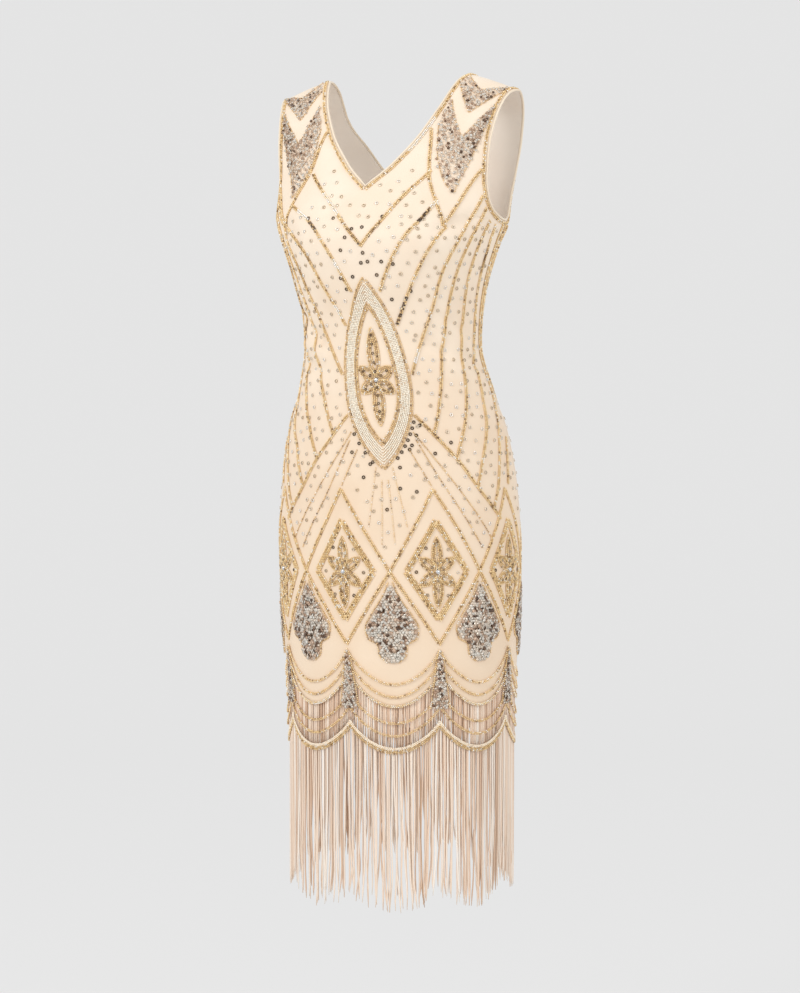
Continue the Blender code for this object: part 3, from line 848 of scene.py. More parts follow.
# ---------------------------------------------------------------- cloth
@dataclass
class ClothPanels:
    """Front and back, cut in one with their straps, with plain satin inside."""

    form: DressForm
    wardrobe: Wardrobe
    wall: float = 0.0014
    sink: float = 0.0002
    quarter_columns: int = 44
    strap_rows: int = 44
    body_rows: int = 110
    scallop_start: float = 0.640
    ease: float = 1.02

    def rows(self, face: Face) -> Array:
        """Drops of the rows, from the skirt's edge up, with one on the neckline's point."""
        low = self.form.v_drop[face]
        straps = np.linspace(0, math.sqrt(low), self.strap_rows) ** 2
        foot = low + (self.form.armhole - low) * np.linspace(0, 1, 12)[1:]
        body = np.linspace(self.form.armhole, self.form.edge[1], self.body_rows)[1:]
        return np.concatenate([straps, foot, body])[::-1]

    def build(self, face: Face) -> bpy.types.Object:
        """Build one panel as a fine thin shell."""
        form, rows = self.form, self.rows(face)
        bm = bmesh.new()
        area = 0.0
        for side in (-1, 1):
            part = np.linspace(0, 1, self.quarter_columns + 1)
            part = (part if side > 0 else part[::-1])[:, None]
            inner, outer = form.inner_angle(face, rows), form.outer_angle(face, rows)
            angle = side * (inner + (outer - inner) * part)
            low = self.scallop_start
            edge = form.scallop(angle, form.edge)
            follow = low + (rows - low) * (edge - low) / (form.edge[1] - low)
            drop = np.where(rows <= low, rows, follow)
            points = form.place(face, angle, drop, -self.sink)[0]
            across, up = np.diff(points, axis=0)[:, :-1], np.diff(points, axis=1)[:-1]
            area += float(np.linalg.norm(np.cross(across, up), axis=-1).sum())
            add_grid(bm, points)
        piece = finish_grid(f"{face.value}_cloth", bm, face is Face.BACK)
        wall(piece, self.wall, inside=True)
        dress(piece, "cream_cloth", self.wardrobe.cloth, self.wardrobe.satin)
        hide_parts(f"{face.value}_panel")
        self.area = area * self.ease
        return piece


@dataclass
class Piping:
    """Rolled piping of the neckline and armholes, each a closed cord."""

    form: DressForm
    wardrobe: Wardrobe
    radius: float = 0.0015
    clearance: float = 0.0003
    sink: float = 0.0008
    count: int = 40

    def edge_path(self, face: Face, side: int, neck: bool) -> Array:
        """Angles and drops of half an edge, from the shoulder seam to its lowest point."""
        form = self.form
        lowest = form.v_drop[face] if neck else form.armhole
        part = np.linspace(0, 1, self.count)
        run = part if neck else np.sin(part * math.pi / 2)
        drop = lowest * run**2
        edge = form.inner_angle if neck else form.outer_angle
        return np.stack([side * edge(face, drop), drop], axis=1)

    def loop(self, halves: Iterable[tuple[Face, int, bool]], neck: bool) -> tuple[Array, Array]:
        """Join half edges into a closed loop of points and normals."""
        points, normals = [], []
        for face, side, downwards in halves:
            path = self.edge_path(face, side, neck)
            path = path if downwards else path[::-1]
            place, normal = self.form.place(face, path[:-1, 0], path[:-1, 1])
            points.append(place)
            normals.append(normal)
        return np.concatenate(points), np.concatenate(normals)

    def cord(self, name: str, points: Array, normals: Array, node: str) -> bpy.types.Object:
        """Run a cord just outside the cloth's edge, mitred at corners, as a welded mesh."""
        middle = points.mean(axis=0)
        moved = []
        for i, (point, normal) in enumerate(zip(points, normals)):
            away = []
            for start, end in ((points[i - 1], point), (point, points[(i + 1) % len(points)])):
                side = unit(np.cross(normal, end - start))
                away.append(side if side @ (middle - point) > 0 else -side)
            both = unit(away[0] + away[1])
            mitre = 1 / max(both @ away[0], 0.5)
            moved.append(point + both * (self.radius + self.clearance) * mitre - normal * self.sink)
        curve = bpy.data.curves.new(name, "CURVE")
        curve.dimensions = "3D"
        curve.bevel_depth = self.radius
        curve.bevel_resolution = 3
        line = curve.splines.new("POLY")
        line.points.add(len(moved) - 1)
        for target, place in zip(line.points, moved):
            target.co = (*place, 1.0)
        line.use_cyclic_u = True
        holder = link(bpy.data.objects.new(name + "_curve", curve))
        bpy.context.view_layer.update()
        depsgraph = bpy.context.evaluated_depsgraph_get()
        mesh = bpy.data.meshes.new_from_object(holder.evaluated_get(depsgraph))
        bpy.data.objects.remove(holder, do_unlink=True)
        mesh.materials.clear()
        mesh.shade_smooth()
        piece = link(bpy.data.objects.new(name, mesh))
        dress(piece, "piping", self.wardrobe.piping)
        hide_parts(node)
        return piece

    def build(self) -> list[bpy.types.Object]:
        """Pipe the neckline and both armholes."""
        neck = ((Face.FRONT, 1, False), (Face.BACK, 1, True), (Face.BACK, -1, False),
                (Face.FRONT, -1, True))
        pieces = [self.cord("neck_piping", *self.loop(neck, True), "neck_binding")]
        for side, hand in ((1, "left"), (-1, "right")):
            halves = ((Face.FRONT, side, True), (Face.BACK, side, False))
            pieces.append(self.cord(f"armhole_piping_{hand}", *self.loop(halves, False),
                                    f"armhole_binding_{hand}"))
        return pieces


# ---------------------------------------------------------------- ornament
DARK, BROWN, BRIGHT = 0.08, 0.30, 0.97


@dataclass(frozen=True)
class Ray:
    """A beaded line on one half of a panel, with stretches of another tone."""

    knots: tuple[Place, ...]
    left_glints: tuple[Stretch, ...] = ()
    right_glints: tuple[Stretch, ...] = ()
    right_start: Place | None = None

    def sides(self) -> list[tuple[Array, Sequence[Stretch]]]:
        """The line's paths on the wearer's left and right, with their glints."""
        right = (self.right_start or self.knots[0], *self.knots[1:])
        return [(spline(self.knots), self.left_glints), (spline(right) * (-1.0, 1.0), self.right_glints)]


@dataclass(frozen=True)
class Chevron:
    """A strap's chevron of sequins, each line going arm, middle, arm.

    The places are parts of the way from the neckline (0) to the armhole (1), and drops in millimetres.
    """

    name: str
    face: Face
    upper: tuple[Place, ...]
    lower: tuple[Place, ...]


CHEVRONS = (
    Chevron("upper_front", Face.FRONT, ((0.10, 2), (0.50, 17), (0.94, 3)),
            ((0.10, 15), (0.53, 48), (0.94, 10))),
    Chevron("lower_front", Face.FRONT, ((0.12, 33), (0.59, 79), (0.93, 30)),
            ((0.15, 62), (0.69, 149), (0.90, 62))),
    Chevron("upper_back", Face.BACK, ((0.12, 3), (0.50, 15), (0.92, 4)),
            ((0.12, 15), (0.50, 46), (0.92, 10))),
)
# Half-widths of the sequin fans and drops, and the middle of the notch under a fan's ears.
FAN_ROWS = edge_rows((634, 1.5), (655, 11.0), (676, 25.0), (693, 33.0), (706, 30.0), (713, 18.0), (726, 16.0),
                     (736, 6.0))
DROP_ROWS = edge_rows((722, 1.5), (738, 4.5), (755, 6.5), (770, 8.5), (794, 12.0))
NOTCH = (0.0235, 0.7115)
NOTCH_RADIUS = 0.0042

# Rays of the front, by angle in degrees and drop in millimetres. Both halves have them.
FRONT_RAYS = (
    Ray(((28, 119), (25, 132), (17, 158), (9, 186), (0, 214)), ((0.72, 0.86, BROWN),),
        ((0.0, 0.34, BROWN), (0.38, 0.64, BRIGHT), (0.80, 1.0, BROWN))),
    Ray(((36, 156), (30, 180), (21, 212), (9, 270)), ((0.02, 0.16, BRIGHT), (0.18, 0.40, DARK)),
        ((0.0, 0.10, BROWN), (0.12, 0.30, BRIGHT), (0.32, 0.50, DARK), (0.78, 0.86, BRIGHT)), (43, 158)),
    Ray(((45, 189), (38, 216), (30, 254), (17, 312)), ((0.80, 1.0, DARK),),
        ((0.10, 0.55, BROWN), (0.86, 0.95, BRIGHT)), (53.5, 185)),
    Ray(((61, 150), (55, 200), (48, 242), (42, 284), (33, 328), (22, 374)), ((0.86, 0.94, BRIGHT),),
        ((0.30, 0.50, BROWN),)),
    Ray(((66, 164), (62, 204), (58, 240), (53, 284), (48, 330), (42, 368), (35, 406), (27, 448))),
    Ray(((72, 180), (70, 208), (68, 242), (66, 290), (64, 330), (60, 366), (54, 402), (44, 446), (37, 480)),
        (), ((0.20, 0.50, BROWN),)),
    Ray(((79, 184), (80, 218), (80, 256), (80, 306), (78, 342), (72, 386), (62, 440), (53, 482), (47, 516)),
        ((0.10, 0.22, BROWN),)),
    Ray(((89, 182), (90, 232), (90, 300), (90, 350), (87, 398), (77, 430), (68, 476), (61, 520),
         (57, 540))),
    Ray(((83, 452), (77, 478), (72, 512))),
)
THIN_RAYS = (
    Ray(((16, 446), (53, 580))), Ray(((17, 456), (28, 512), (47, 593))), Ray(((13, 468), (22, 514))),
)
PALE_RAYS = (
    Ray(((4, 490), (9, 566))), Ray(((1.5, 506), (3, 588))),
)
YOKE = Ray(((18, 424), (37, 480), (47, 516), (61, 557)), ((0.0, 0.18, BROWN),))
# Outlines of the straps' sequin fields, from the neckline to a point and up to the armhole, on the
# wearer's left and then right. The right one lies a little further round, as the dress is turned.
STRAP_OUTLINES = (
    ((20, 67), (27, 121), (33.5, 152), (42.5, 189)), ((42.5, 189), (48.5, 152), (52.6, 114)),
    ((-19.7, 67), (-29.5, 116), (-40, 148), (-53.5, 184)), ((-53.5, 184), (-56.5, 156), (-56, 127)),
)
BACK_RAYS = (
    Ray(((30, 150), (22, 178), (11, 212), (0, 246))),
    Ray(((40, 160), (32, 196), (20, 240), (0, 300))),
    Ray(((50, 168), (42, 208), (30, 262), (12, 322), (0, 356))),
    Ray(((60, 176), (52, 220), (42, 274), (28, 330), (12, 382), (0, 412))),
    Ray(((69, 180), (64, 224), (57, 280), (46, 336), (32, 392), (18, 440))),
    Ray(((78, 182), (75, 228), (72, 284), (66, 340), (54, 396), (40, 450))),
    Ray(((86, 182), (85, 232), (84, 292), (82, 340), (74, 400), (60, 458), (47, 516))),
)


@dataclass
class Medallion:
    """Marquise of white beads between gold outlines, with a six-petal flower."""

    form: DressForm
    top: float = 0.254
    bottom: float = 0.492
    half: float = 0.042
    inner_top: float = 0.286
    inner_bottom: float = 0.462
    inner_half: float = 0.027
    widest: float = 0.60              # of the way down
    fullness: float = 0.85            # below 1 the outline is fuller
    flower_drop: float = 0.381
    band_rows: int = 6
    turns: int = 160

    def outline(self, part: float) -> Array:
        """Closed outline between the outer edge (0) and the inner one (1), as angles and drops."""
        turn = np.linspace(0, math.tau, self.turns + 1)
        along = 0.5 - 0.5 * np.cos(turn)
        reach = np.where(along < self.widest, 1 - along / self.widest,
                         (along - self.widest) / (1 - self.widest))
        share = np.clip(1 - reach**2, 0, 1) ** self.fullness
        rims = []
        for top, bottom, half in ((self.top, self.bottom, self.half),
                                  (self.inner_top, self.inner_bottom, self.inner_half)):
            drop = top + (bottom - top) * along
            rims.append(np.stack([np.sign(np.sin(turn)) * share * half, drop], axis=1))
        flat = rims[0] + (rims[1] - rims[0]) * part
        spans = self.form.span[Face.FRONT](flat[:, 1])
        return np.stack([np.arcsin(flat[:, 0] / spans), flat[:, 1]], axis=1)

    def half_at(self, drop: Array) -> Array:
        """Half-width of the outer outline at a drop."""
        along = np.clip((drop - self.top) / (self.bottom - self.top), 0, 1)
        reach = np.where(along < self.widest, 1 - along / self.widest,
                         (along - self.widest) / (1 - self.widest))
        return self.half * np.clip(1 - reach**2, 0, 1) ** self.fullness

    def contains(self, angle: Array, drop: Array, margin: float) -> Array:
        """Which places lie inside the outer outline, grown by a margin in metres."""
        within = (drop > self.top - margin) & (drop < self.bottom + margin)
        flat = np.abs(np.sin(angle)) * self.form.span[Face.FRONT](drop)
        return within & (flat < self.half_at(drop) + margin)


@dataclass(frozen=True)
class Petal:
    """One flat petal, from a flower's centre outwards, in metres and radians clockwise from up."""

    centre: Place
    direction: float
    length: float
    width: float
    start: float = 0.10

    def place(self, along: Array, off: Array) -> Array:
        """Flat places at parts of the length and distances off the axis."""
        sin, cos = math.sin(self.direction), math.cos(self.direction)
        x = self.centre[0] + along * self.length * sin + off * cos
        y = self.centre[1] - along * self.length * cos + off * sin
        return np.stack([x, y], axis=1)

    def outline(self, share: float) -> Array:
        """Closed outline, pointed at the tip; share is 1 at the rim and less inside it."""
        turn = np.linspace(0, math.tau, 41)
        part = 0.5 - 0.5 * np.cos(turn)
        along = self.start + (1 - self.start) * (0.5 + (part - 0.5) * (0.35 + 0.65 * share))
        wide = np.clip(part, 0, 1) ** 0.6 * np.clip(1 - part, 0, 1) ** 0.8 / 0.38
        return self.place(along, 0.5 * self.width * share * wide * np.sign(np.sin(turn)))


@dataclass
class FlowerPlan:
    """Sizes of a six-petal beaded flower."""

    up: float
    down: float
    slant: float
    width: float
    ring_tone: float
    upright_rings: int
    slant_angles: tuple[float, ...] = (52.0, 128.0, 232.0, 308.0)

    def petals(self, centre: Place) -> list[Petal]:
        """The six petals on the flat."""
        made = [Petal(centre, 0.0, self.up, self.width), Petal(centre, math.pi, self.down, self.width)]
        made += [Petal(centre, math.radians(turn), self.slant, self.width * 1.05)
                 for turn in self.slant_angles]
        return made


@dataclass
class Ornament:
    """All beadwork and sequins of the dress."""

    form: DressForm
    wardrobe: Wardrobe
    medallion: Medallion
    lozenge_top: float = 0.518
    lozenge_middle: float = 0.622
    lozenge_bottom: float = 0.713
    inner_top: float = 0.558
    inner_bottom: float = 0.682
    inner_share: float = 0.66
    sequin: float = 0.0021
    sequin_pitch: float = 0.0030
    fan_sequin: float = 0.0027
    fan_pitch: float = 0.0037
    rim: float = 0.0014               # clear of sequins inside an outline

    def __post_init__(self) -> None:
        """Start the joined sets."""
        self.hand = Embroiderer(self.form)
        self.pieces: list[bpy.types.Object] = []

    # ---- helpers on the flat
    def around(self, flat: Array, centre: float) -> Array:
        """Turn flat places, x from a centre angle and drop, into angles all round and drops."""
        drop = flat[:, 1]
        spans = self.form.span[Face.FRONT](drop)
        depth = self.form.side_y(drop) - self.form.face_y[Face.FRONT](drop)
        behind = self.form.face_y[Face.BACK](drop) - self.form.side_y(drop)
        depth = depth if abs(centre) <= math.pi / 2 else behind
        arc = np.hypot(spans * math.cos(centre), depth * math.sin(centre))
        return np.stack([centre + flat[:, 0] / arc, drop], axis=1)

    def centres(self, offset: float) -> list[float]:
        """Angles all round of the skirt's repeats."""
        return [math.radians((offset + 45.0 * k + 180.0) % 360.0 - 180.0) for k in range(self.form.repeats)]

    def keep(self, piece: bpy.types.Object, slot: str, material: bpy.types.Material,
             *nodes: str) -> bpy.types.Object:
        """Dress a piece, hide the nodes it stands for, and list it."""
        dress(piece, slot, material)
        if nodes:
            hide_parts(*nodes)
        self.pieces.append(piece)
        return piece

    # ---- lines
    def rays(self) -> None:
        """Beaded rays of front and back, and the yoke lines."""
        gold = Sewing(Trinket.SEED, 11)
        for ray in FRONT_RAYS + (YOKE,):
            for path, glints in ray.sides():
                self.hand.line(gold, Face.FRONT, path, sparkle=glints)
        for rays, size, tone in ((THIN_RAYS, 0.0011, 0.42), (PALE_RAYS, 0.0009, 0.64)):
            for ray in rays:
                for path, glints in ray.sides():
                    self.hand.line(gold, Face.FRONT, path, 1, size=size, pitch=0.0025, tone=tone)
        self.keep(gold.build("front_ray_beads"), "gold_bead", self.wardrobe.gold)
        plain = Sewing(Trinket.SEED, 12)
        for ray in BACK_RAYS + (YOKE,):
            for path, _ in ray.sides():
                self.hand.line(plain, Face.BACK, path)
        self.keep(plain.build("back_ray_beads"), "gold_bead", self.wardrobe.gold)

    def edge_lines(self) -> None:
        """Bead rows beside the neckline and armholes, and the strap outlines."""
        form = self.form
        beads = Sewing(Trinket.SEED, 13)
        inset = 0.0030
        for face in Face:
            for side in (-1, 1):
                for neck in (True, False):
                    lowest = form.v_drop[face] if neck else form.armhole
                    run = np.linspace(0, 1, 60) if neck else np.sin(np.linspace(0, 1, 60) * math.pi / 2)
                    drop = lowest * run**2
                    edge = form.inner_angle(face, drop) if neck else form.outer_angle(face, drop)
                    path = np.stack([side * edge, drop], axis=1)
                    path = self.inset_path(face, path, inset, neck)
                    tone = 0.56 if neck else 0.50
                    sparkle = ((0.62, 0.82, BRIGHT),) if neck and side > 0 and face is Face.FRONT else ()
                    self.hand.line(beads, face, path, 2, spread=0.0021, size=0.0013,
                                   pitch=0.0023, tone=tone, sparkle=sparkle)
        for knots in STRAP_OUTLINES:
            self.hand.line(beads, Face.FRONT, spline(knots), 2)
        self.keep(beads.build("edge_beads"), "gold_bead", self.wardrobe.gold)

    def inset_path(self, face: Face, path: Array, distance: float, neck: bool) -> Array:
        """Move an edge's path into the cloth by a distance, square to the edge on the surface."""
        points = self.form.place(face, path[:, 0], path[:, 1])[0]
        small = 0.004
        by_angle = (self.form.place(face, path[:, 0] + small, path[:, 1])[0] - points) / small
        step = small * small
        by_drop = (self.form.place(face, path[:, 0], path[:, 1] + step)[0] - points) / step
        along = unit(np.gradient(points, axis=0))
        sign = np.sign(path[:, :1] + (1e-6 if path[:, 0].sum() >= 0 else -1e-6))
        into = unit(by_angle * sign * (1 if neck else -1)) + np.array([0, 0, -0.6])
        into = unit(into - (into * along).sum(axis=1, keepdims=True) * along)
        moved = path.copy()
        for i, (a, d, goal) in enumerate(zip(by_angle, by_drop, into * distance)):
            moved[i] += np.linalg.lstsq(np.stack([a, d], axis=1), goal, rcond=None)[0]
        moved[:, 1] = np.maximum(moved[:, 1], 0.0)
        return moved

    def build_medallion(self) -> None:
        """White band, gold outlines and the flower of the medallion."""
        medallion = self.medallion
        gold = Sewing(Trinket.SEED, 14)
        for part, rows in ((0.0, 2), (1.0, 2), (1.16, 1)):
            self.hand.line(gold, Face.FRONT, medallion.outline(part), rows, size=0.0012, tone=0.50)
        centre = (0.0, medallion.flower_drop)
        rings = Sewing(Trinket.RING, 19)
        # Rows of dark rings along the lower edge: side, first and last drop, count, distance outside it.
        ring_rows = ((1, 434, 479, 7, 5), (1, 438, 463, 3, 13), (-1, 449, 484, 4, 5))
        for side, first, last, count, out in ring_rows:
            drop = np.linspace(first, last, count) * MM
            flat = side * (medallion.half_at(drop) + out * MM)
            angle = np.arcsin(flat / self.form.span[Face.FRONT](drop))
            points, normals = self.form.place(Face.FRONT, angle, drop, 0.0004)
            tangents = rings.random.normal(0, 1, points.shape)
            rings.add(points, normals, tangents, 0.0024, np.full(count, 0.06))
        self.flower(gold, rings, 0.0, centre, FlowerPlan(0.066, 0.058, 0.027, 0.0150, 0.14, 5))
        self.keep(gold.build("medallion_gold_beads"), "gold_bead", self.wardrobe.gold)
        self.keep(rings.build("medallion_ring_sequins"), "gold_bead", self.wardrobe.ring)
        white = Sewing(Trinket.SEED, 15)
        for row in range(medallion.band_rows):
            part = 0.20 + 0.62 * row / (medallion.band_rows - 1)
            self.hand.line(white, Face.FRONT, medallion.outline(part), 1, size=0.00135, pitch=0.0022,
                           tone=0.84)
        self.keep(white.build("medallion_white_beads"), "white_bead", self.wardrobe.white, "medallion_band")

    def flower(self, gold: Sewing, rings: Sewing, around: float, centre: Place,
               plan: FlowerPlan) -> None:
        """Sew a six-petal flower: nested rounds of beads with a row of ring sequins on each petal."""
        for number, leaf in enumerate(plan.petals(centre)):
            for share, tone in ((1.0, 0.56), (0.68, 0.40), (0.36, 0.62)):
                path = self.around(leaf.outline(share), around)
                self.hand.line(gold, None, path, 1, size=0.00130, pitch=0.0023, tone=tone, out=0.0009)
            count = plan.upright_rings if number < 2 else 2
            along = (np.arange(count) + 0.9) / (count + 0.7)
            places = self.around(leaf.place(along, np.zeros(count)), around)
            points, normals = self.form.place_round(places[:, 0], places[:, 1], 0.0024)
            tones = plan.ring_tone + rings.random.normal(0, 0.08, count)
            rings.add(points, normals, rings.random.normal(0, 1, points.shape), 0.0019, tones)

    def diamond(self, centre: float, half: float, top: float, bottom: float, steps: int) -> list[Array]:
        """The four sides of a lozenge, as angles all round and drops."""
        corners = np.array(((0.0, top), (half, self.lozenge_middle), (0.0, bottom),
                            (-half, self.lozenge_middle))) + (centre, 0.0)
        part = np.linspace(0, 1, steps)[:, None]
        return [start + (end - start) * part for start, end in zip(corners, np.roll(corners, -1, axis=0))]

    def lozenges(self) -> None:
        """The band of lozenges round the hips, with flowers in them."""
        lines = Sewing(Trinket.SEED, 16)
        flowers, rings = Sewing(Trinket.SEED, 17), Sewing(Trinket.RING, 20)
        half = math.pi / self.form.repeats
        for centre in self.centres(22.5):
            for path in self.diamond(centre, half, self.lozenge_top, self.lozenge_bottom, 24):
                self.hand.line(lines, None, path, 2)
            inner_half = half * self.inner_share
            for path in self.diamond(centre, inner_half, self.inner_top, self.inner_bottom, 20):
                self.hand.line(lines, None, path, 4, spread=0.0020, tone=0.54)
            plan = FlowerPlan(0.044, 0.046, 0.029, 0.0130, 0.46, 3)
            self.flower(flowers, rings, centre, (0.0, self.lozenge_middle), plan)
            self.loose_rings(rings, centre)
        self.keep(lines.build("lozenge_beads"), "gold_bead", self.wardrobe.gold)
        self.keep(flowers.build("flower_beads"), "gold_bead", self.wardrobe.gold)
        self.keep(rings.build("flower_ring_sequins"), "gold_bead", self.wardrobe.ring)

    def loose_rings(self, rings: Sewing, centre: float) -> None:
        """Six ring sequins between a lozenge's flower and its inner line."""
        flat = np.array(((-0.027, 0.0), (0.027, 0.001), (-0.014, -0.030), (0.015, -0.028),
                         (-0.014, 0.029), (0.013, 0.030))) + (0.0, self.lozenge_middle)
        places = self.around(flat, centre)
        points, normals = self.form.place_round(places[:, 0], places[:, 1], 0.0004)
        tones = rings.random.uniform(0.12, 0.85, len(points))
        rings.add(points, normals, rings.random.normal(0, 1, points.shape), 0.0023, tones)

    def swags(self) -> None:
        """Swag lines over the skirt's edge and the strand band."""
        beads = Sewing(Trinket.SEED, 18)
        around = np.linspace(-math.pi, math.pi, 1441)
        for high, low, tone, rows in ((0.720, 0.763, 0.66, 2), (0.733, 0.779, 0.60, 2),
                                      (0.747, 0.791, 0.80, 2), (0.774, 0.812, 0.54, 2),
                                      (0.790, 0.828, 0.54, 2)):
            path = np.stack([around, self.form.scallop(around, (high, low))], axis=1)
            self.hand.line(beads, None, path, rows, size=0.00115, spread=0.0017, tone=tone, out=0.0016)
        self.keep(beads.build("swag_beads"), "gold_bead", self.wardrobe.gold)

    # ---- sequins
    @staticmethod
    def mixed(draw: Array) -> Array:
        """Tones of the silver sequins: mostly pale, some dark and brownish as painted shade, few bright as
        painted glints.
        """
        pale = np.where(draw < 0.34, 0.24 + 0.5 * draw, 0.40 + 0.60 * draw)
        return np.where(draw < 0.09, 0.02 + draw, pale)

    def outline_beads(self, beads: Sewing, rows: Sequence[EdgeRow], centre: float, out: float) -> None:
        """Edge a sequin motif with one row of gold beads."""
        drop = np.linspace(rows[0].drop, rows[-1].drop, 60) * MM
        half = smooth_column(rows, "half")(drop) + 0.0010
        for side in (-1, 1):
            path = self.around(np.stack([side * half, drop], axis=1), centre)
            self.hand.line(beads, None, path, 1, size=0.0012, tone=0.50, out=out)

    def in_outline(self, rows: Sequence[EdgeRow], centre: float, lobes: bool) -> Array:
        """Close-packed places inside an outline given by half-widths by drop."""
        low, high = rows[0].drop * MM, rows[-1].drop * MM
        widest = max(row.half for row in rows) * MM
        pitch = self.fan_pitch if lobes else self.sequin_pitch
        field_places = hexagon_field((-widest, low), (widest, high), pitch)
        half = smooth_column(rows, "half")(field_places[:, 1])
        inside = np.abs(field_places[:, 0]) <= half - self.rim
        inside &= field_places[:, 1] <= high - self.rim
        if lobes:
            away = np.abs(field_places) - NOTCH
            inside &= (away**2).sum(axis=1) >= NOTCH_RADIUS**2
        return self.around(field_places[inside], centre)

    def motifs(self) -> None:
        """Fans under the lozenges' meeting points, and drops under their lower points."""
        fans, drops = Sewing(Trinket.CUP, 21), Sewing(Trinket.CUP, 22)
        edges = Sewing(Trinket.SEED, 27)
        for centre in self.centres(0.0):
            places = self.in_outline(FAN_ROWS, centre, True)
            self.hand.patch(fans, None, places, self.fan_sequin, 0.24, self.mixed)
            self.outline_beads(edges, FAN_ROWS, centre, 0.0008)
        for centre in self.centres(22.5):
            places = self.in_outline(DROP_ROWS, centre, False)
            self.hand.patch(drops, None, places, self.sequin, 0.26, self.mixed, out=0.0024)
            self.outline_beads(edges, DROP_ROWS, centre, 0.0026)
        repeats = range(1, self.form.repeats + 1)
        self.keep(fans.build("fan_sequins", False), "silver_sequin", self.wardrobe.silver,
                  *(f"skirt_fan_{k}" for k in repeats))
        self.keep(drops.build("drop_sequins", False), "silver_sequin", self.wardrobe.silver,
                  *(f"skirt_drop_{k}" for k in repeats))
        self.keep(edges.build("motif_edge_beads"), "gold_bead", self.wardrobe.gold)

    def chevrons(self) -> None:
        """Sequin chevrons on the straps."""
        sequins = Sewing(Trinket.CUP, 23)
        outlines = Sewing(Trinket.SEED, 24)
        nodes = []
        for plan in CHEVRONS:
            for side, hand in ((1, "left"), (-1, "right")):
                self.chevron(sequins, outlines, plan, side)
                nodes.append(f"chevron_{hand}_{plan.name}")
        self.keep(sequins.build("chevron_sequins", False), "silver_sequin", self.wardrobe.silver, *nodes)
        self.keep(outlines.build("chevron_outline_beads"), "gold_bead", self.wardrobe.gold)

    def chevron(self, sequins: Sewing, outlines: Sewing, plan: Chevron, side: int) -> None:
        """Fill one chevron with sequins and outline its notch."""
        face, strap_width, pitch = plan.face, 0.062, self.sequin_pitch
        tops, bottoms = np.array(plan.upper), np.array(plan.lower)
        places = []
        for part in np.arange(0.02, 0.99, pitch / (strap_width * 0.8)):
            ends = [np.array([np.interp(part, (0, 0.5, 1), line[:, k]) for k in (0, 1)])
                    for line in (tops, bottoms)]
            length = abs(ends[1][1] - ends[0][1]) * MM
            count = max(int(length / pitch * 0.95), 2)
            for share in (np.arange(count) + 0.5) / count:
                places.append(ends[0] + (ends[1] - ends[0]) * share)
        places = np.array(places)
        places += sequins.random.normal(0, 1, places.shape) * (0.012, 0.5)
        drop = np.maximum(places[:, 1] * MM, 0.0006)
        angle = side * self.form.strap_angle(face, np.clip(places[:, 0], 0.07, 0.95), drop)
        self.hand.patch(sequins, face, np.stack([angle, drop], axis=1), self.sequin * 0.95, 0.24,
                        self.mixed)
        for line in (tops, bottoms):
            share = np.interp(np.linspace(0, 1, 40), (0, 0.5, 1), line[:, 0])
            drop = np.interp(np.linspace(0, 1, 40), (0, 0.5, 1), line[:, 1]) * MM
            angle = side * self.form.strap_angle(face, share, drop)
            self.hand.line(outlines, face, np.stack([angle, drop], axis=1), 1, size=0.0010, tone=0.48)

    def scattered(self) -> None:
        """Ring sequins scattered over the cloth between the rays."""
        form = self.form
        rings = Sewing(Trinket.RING, 25)
        pitch = 0.0170
        for face in Face:
            flat = hexagon_field((-0.245, 0.03), (0.245, 0.66), pitch)
            flat += rings.random.normal(0, 0.0022, flat.shape)
            drop = flat[:, 1]
            angle = flat[:, 0] / (0.5 * (form.span[face](drop) + np.abs(form.face_y[face](drop))))
            margin = 0.10
            keep = (np.abs(angle) > form.inner_angle(face, drop) + margin)
            keep |= drop > form.v_drop[face] + 0.012
            keep &= np.abs(angle) < form.outer_angle(face, drop) - 0.06
            keep &= self.below_straps(face, angle, drop)
            keep &= drop < self.ring_limit(angle)
            if face is Face.FRONT:
                keep &= ~self.medallion.contains(angle, drop, 0.008)
            angle, drop = angle[keep], drop[keep]
            points, normals = form.place(face, angle, drop, 0.0004)
            random = rings.random
            dark = np.exp(-(((drop - 0.235) / 0.06) ** 2) - (angle / 0.30) ** 2)
            low = 0.6 * np.exp(-(((drop - 0.48) / 0.04) ** 2) - (angle / 0.35) ** 2)
            draw = random.random(len(drop))
            tones = np.where(draw < np.maximum(dark, low) * 0.9, 0.05 + 0.1 * random.random(len(drop)),
                             np.where(draw < 0.70, 0.50 + 0.30 * random.random(len(drop)), 0.95))
            normals = unit(normals + random.normal(0, 0.06, normals.shape))
            rings.add(points, normals, random.normal(0, 1, normals.shape), 0.0025, tones)
        self.keep(rings.build("ring_sequins"), "gold_bead", self.wardrobe.ring)

    def below_straps(self, face: Face, angle: Array, drop: Array) -> Array:
        """Which places lie outside the straps' sequin field."""
        share = (np.abs(angle) - self.form.inner_angle(face, drop)) / np.maximum(
            self.form.outer_angle(face, drop) - self.form.inner_angle(face, drop), 0.01)
        lower = np.interp(drop, (0.0, 0.066, 0.138, 0.188), (-1.0, 0.02, 0.42, 0.60))
        return (drop > 0.19) | ((share < lower - 0.06) & (drop > 0.07)) | (share > 1.2)

    def ring_limit(self, angle: Array) -> Array:
        """Lowest drop of the scattered rings at an angle: they stop over the lozenges."""
        phase = np.abs(((np.abs(np.degrees(angle)) + 22.5) % 45.0) - 22.5) / 22.5
        return self.lozenge_middle - 0.020 - (self.lozenge_middle - self.lozenge_top) * phase

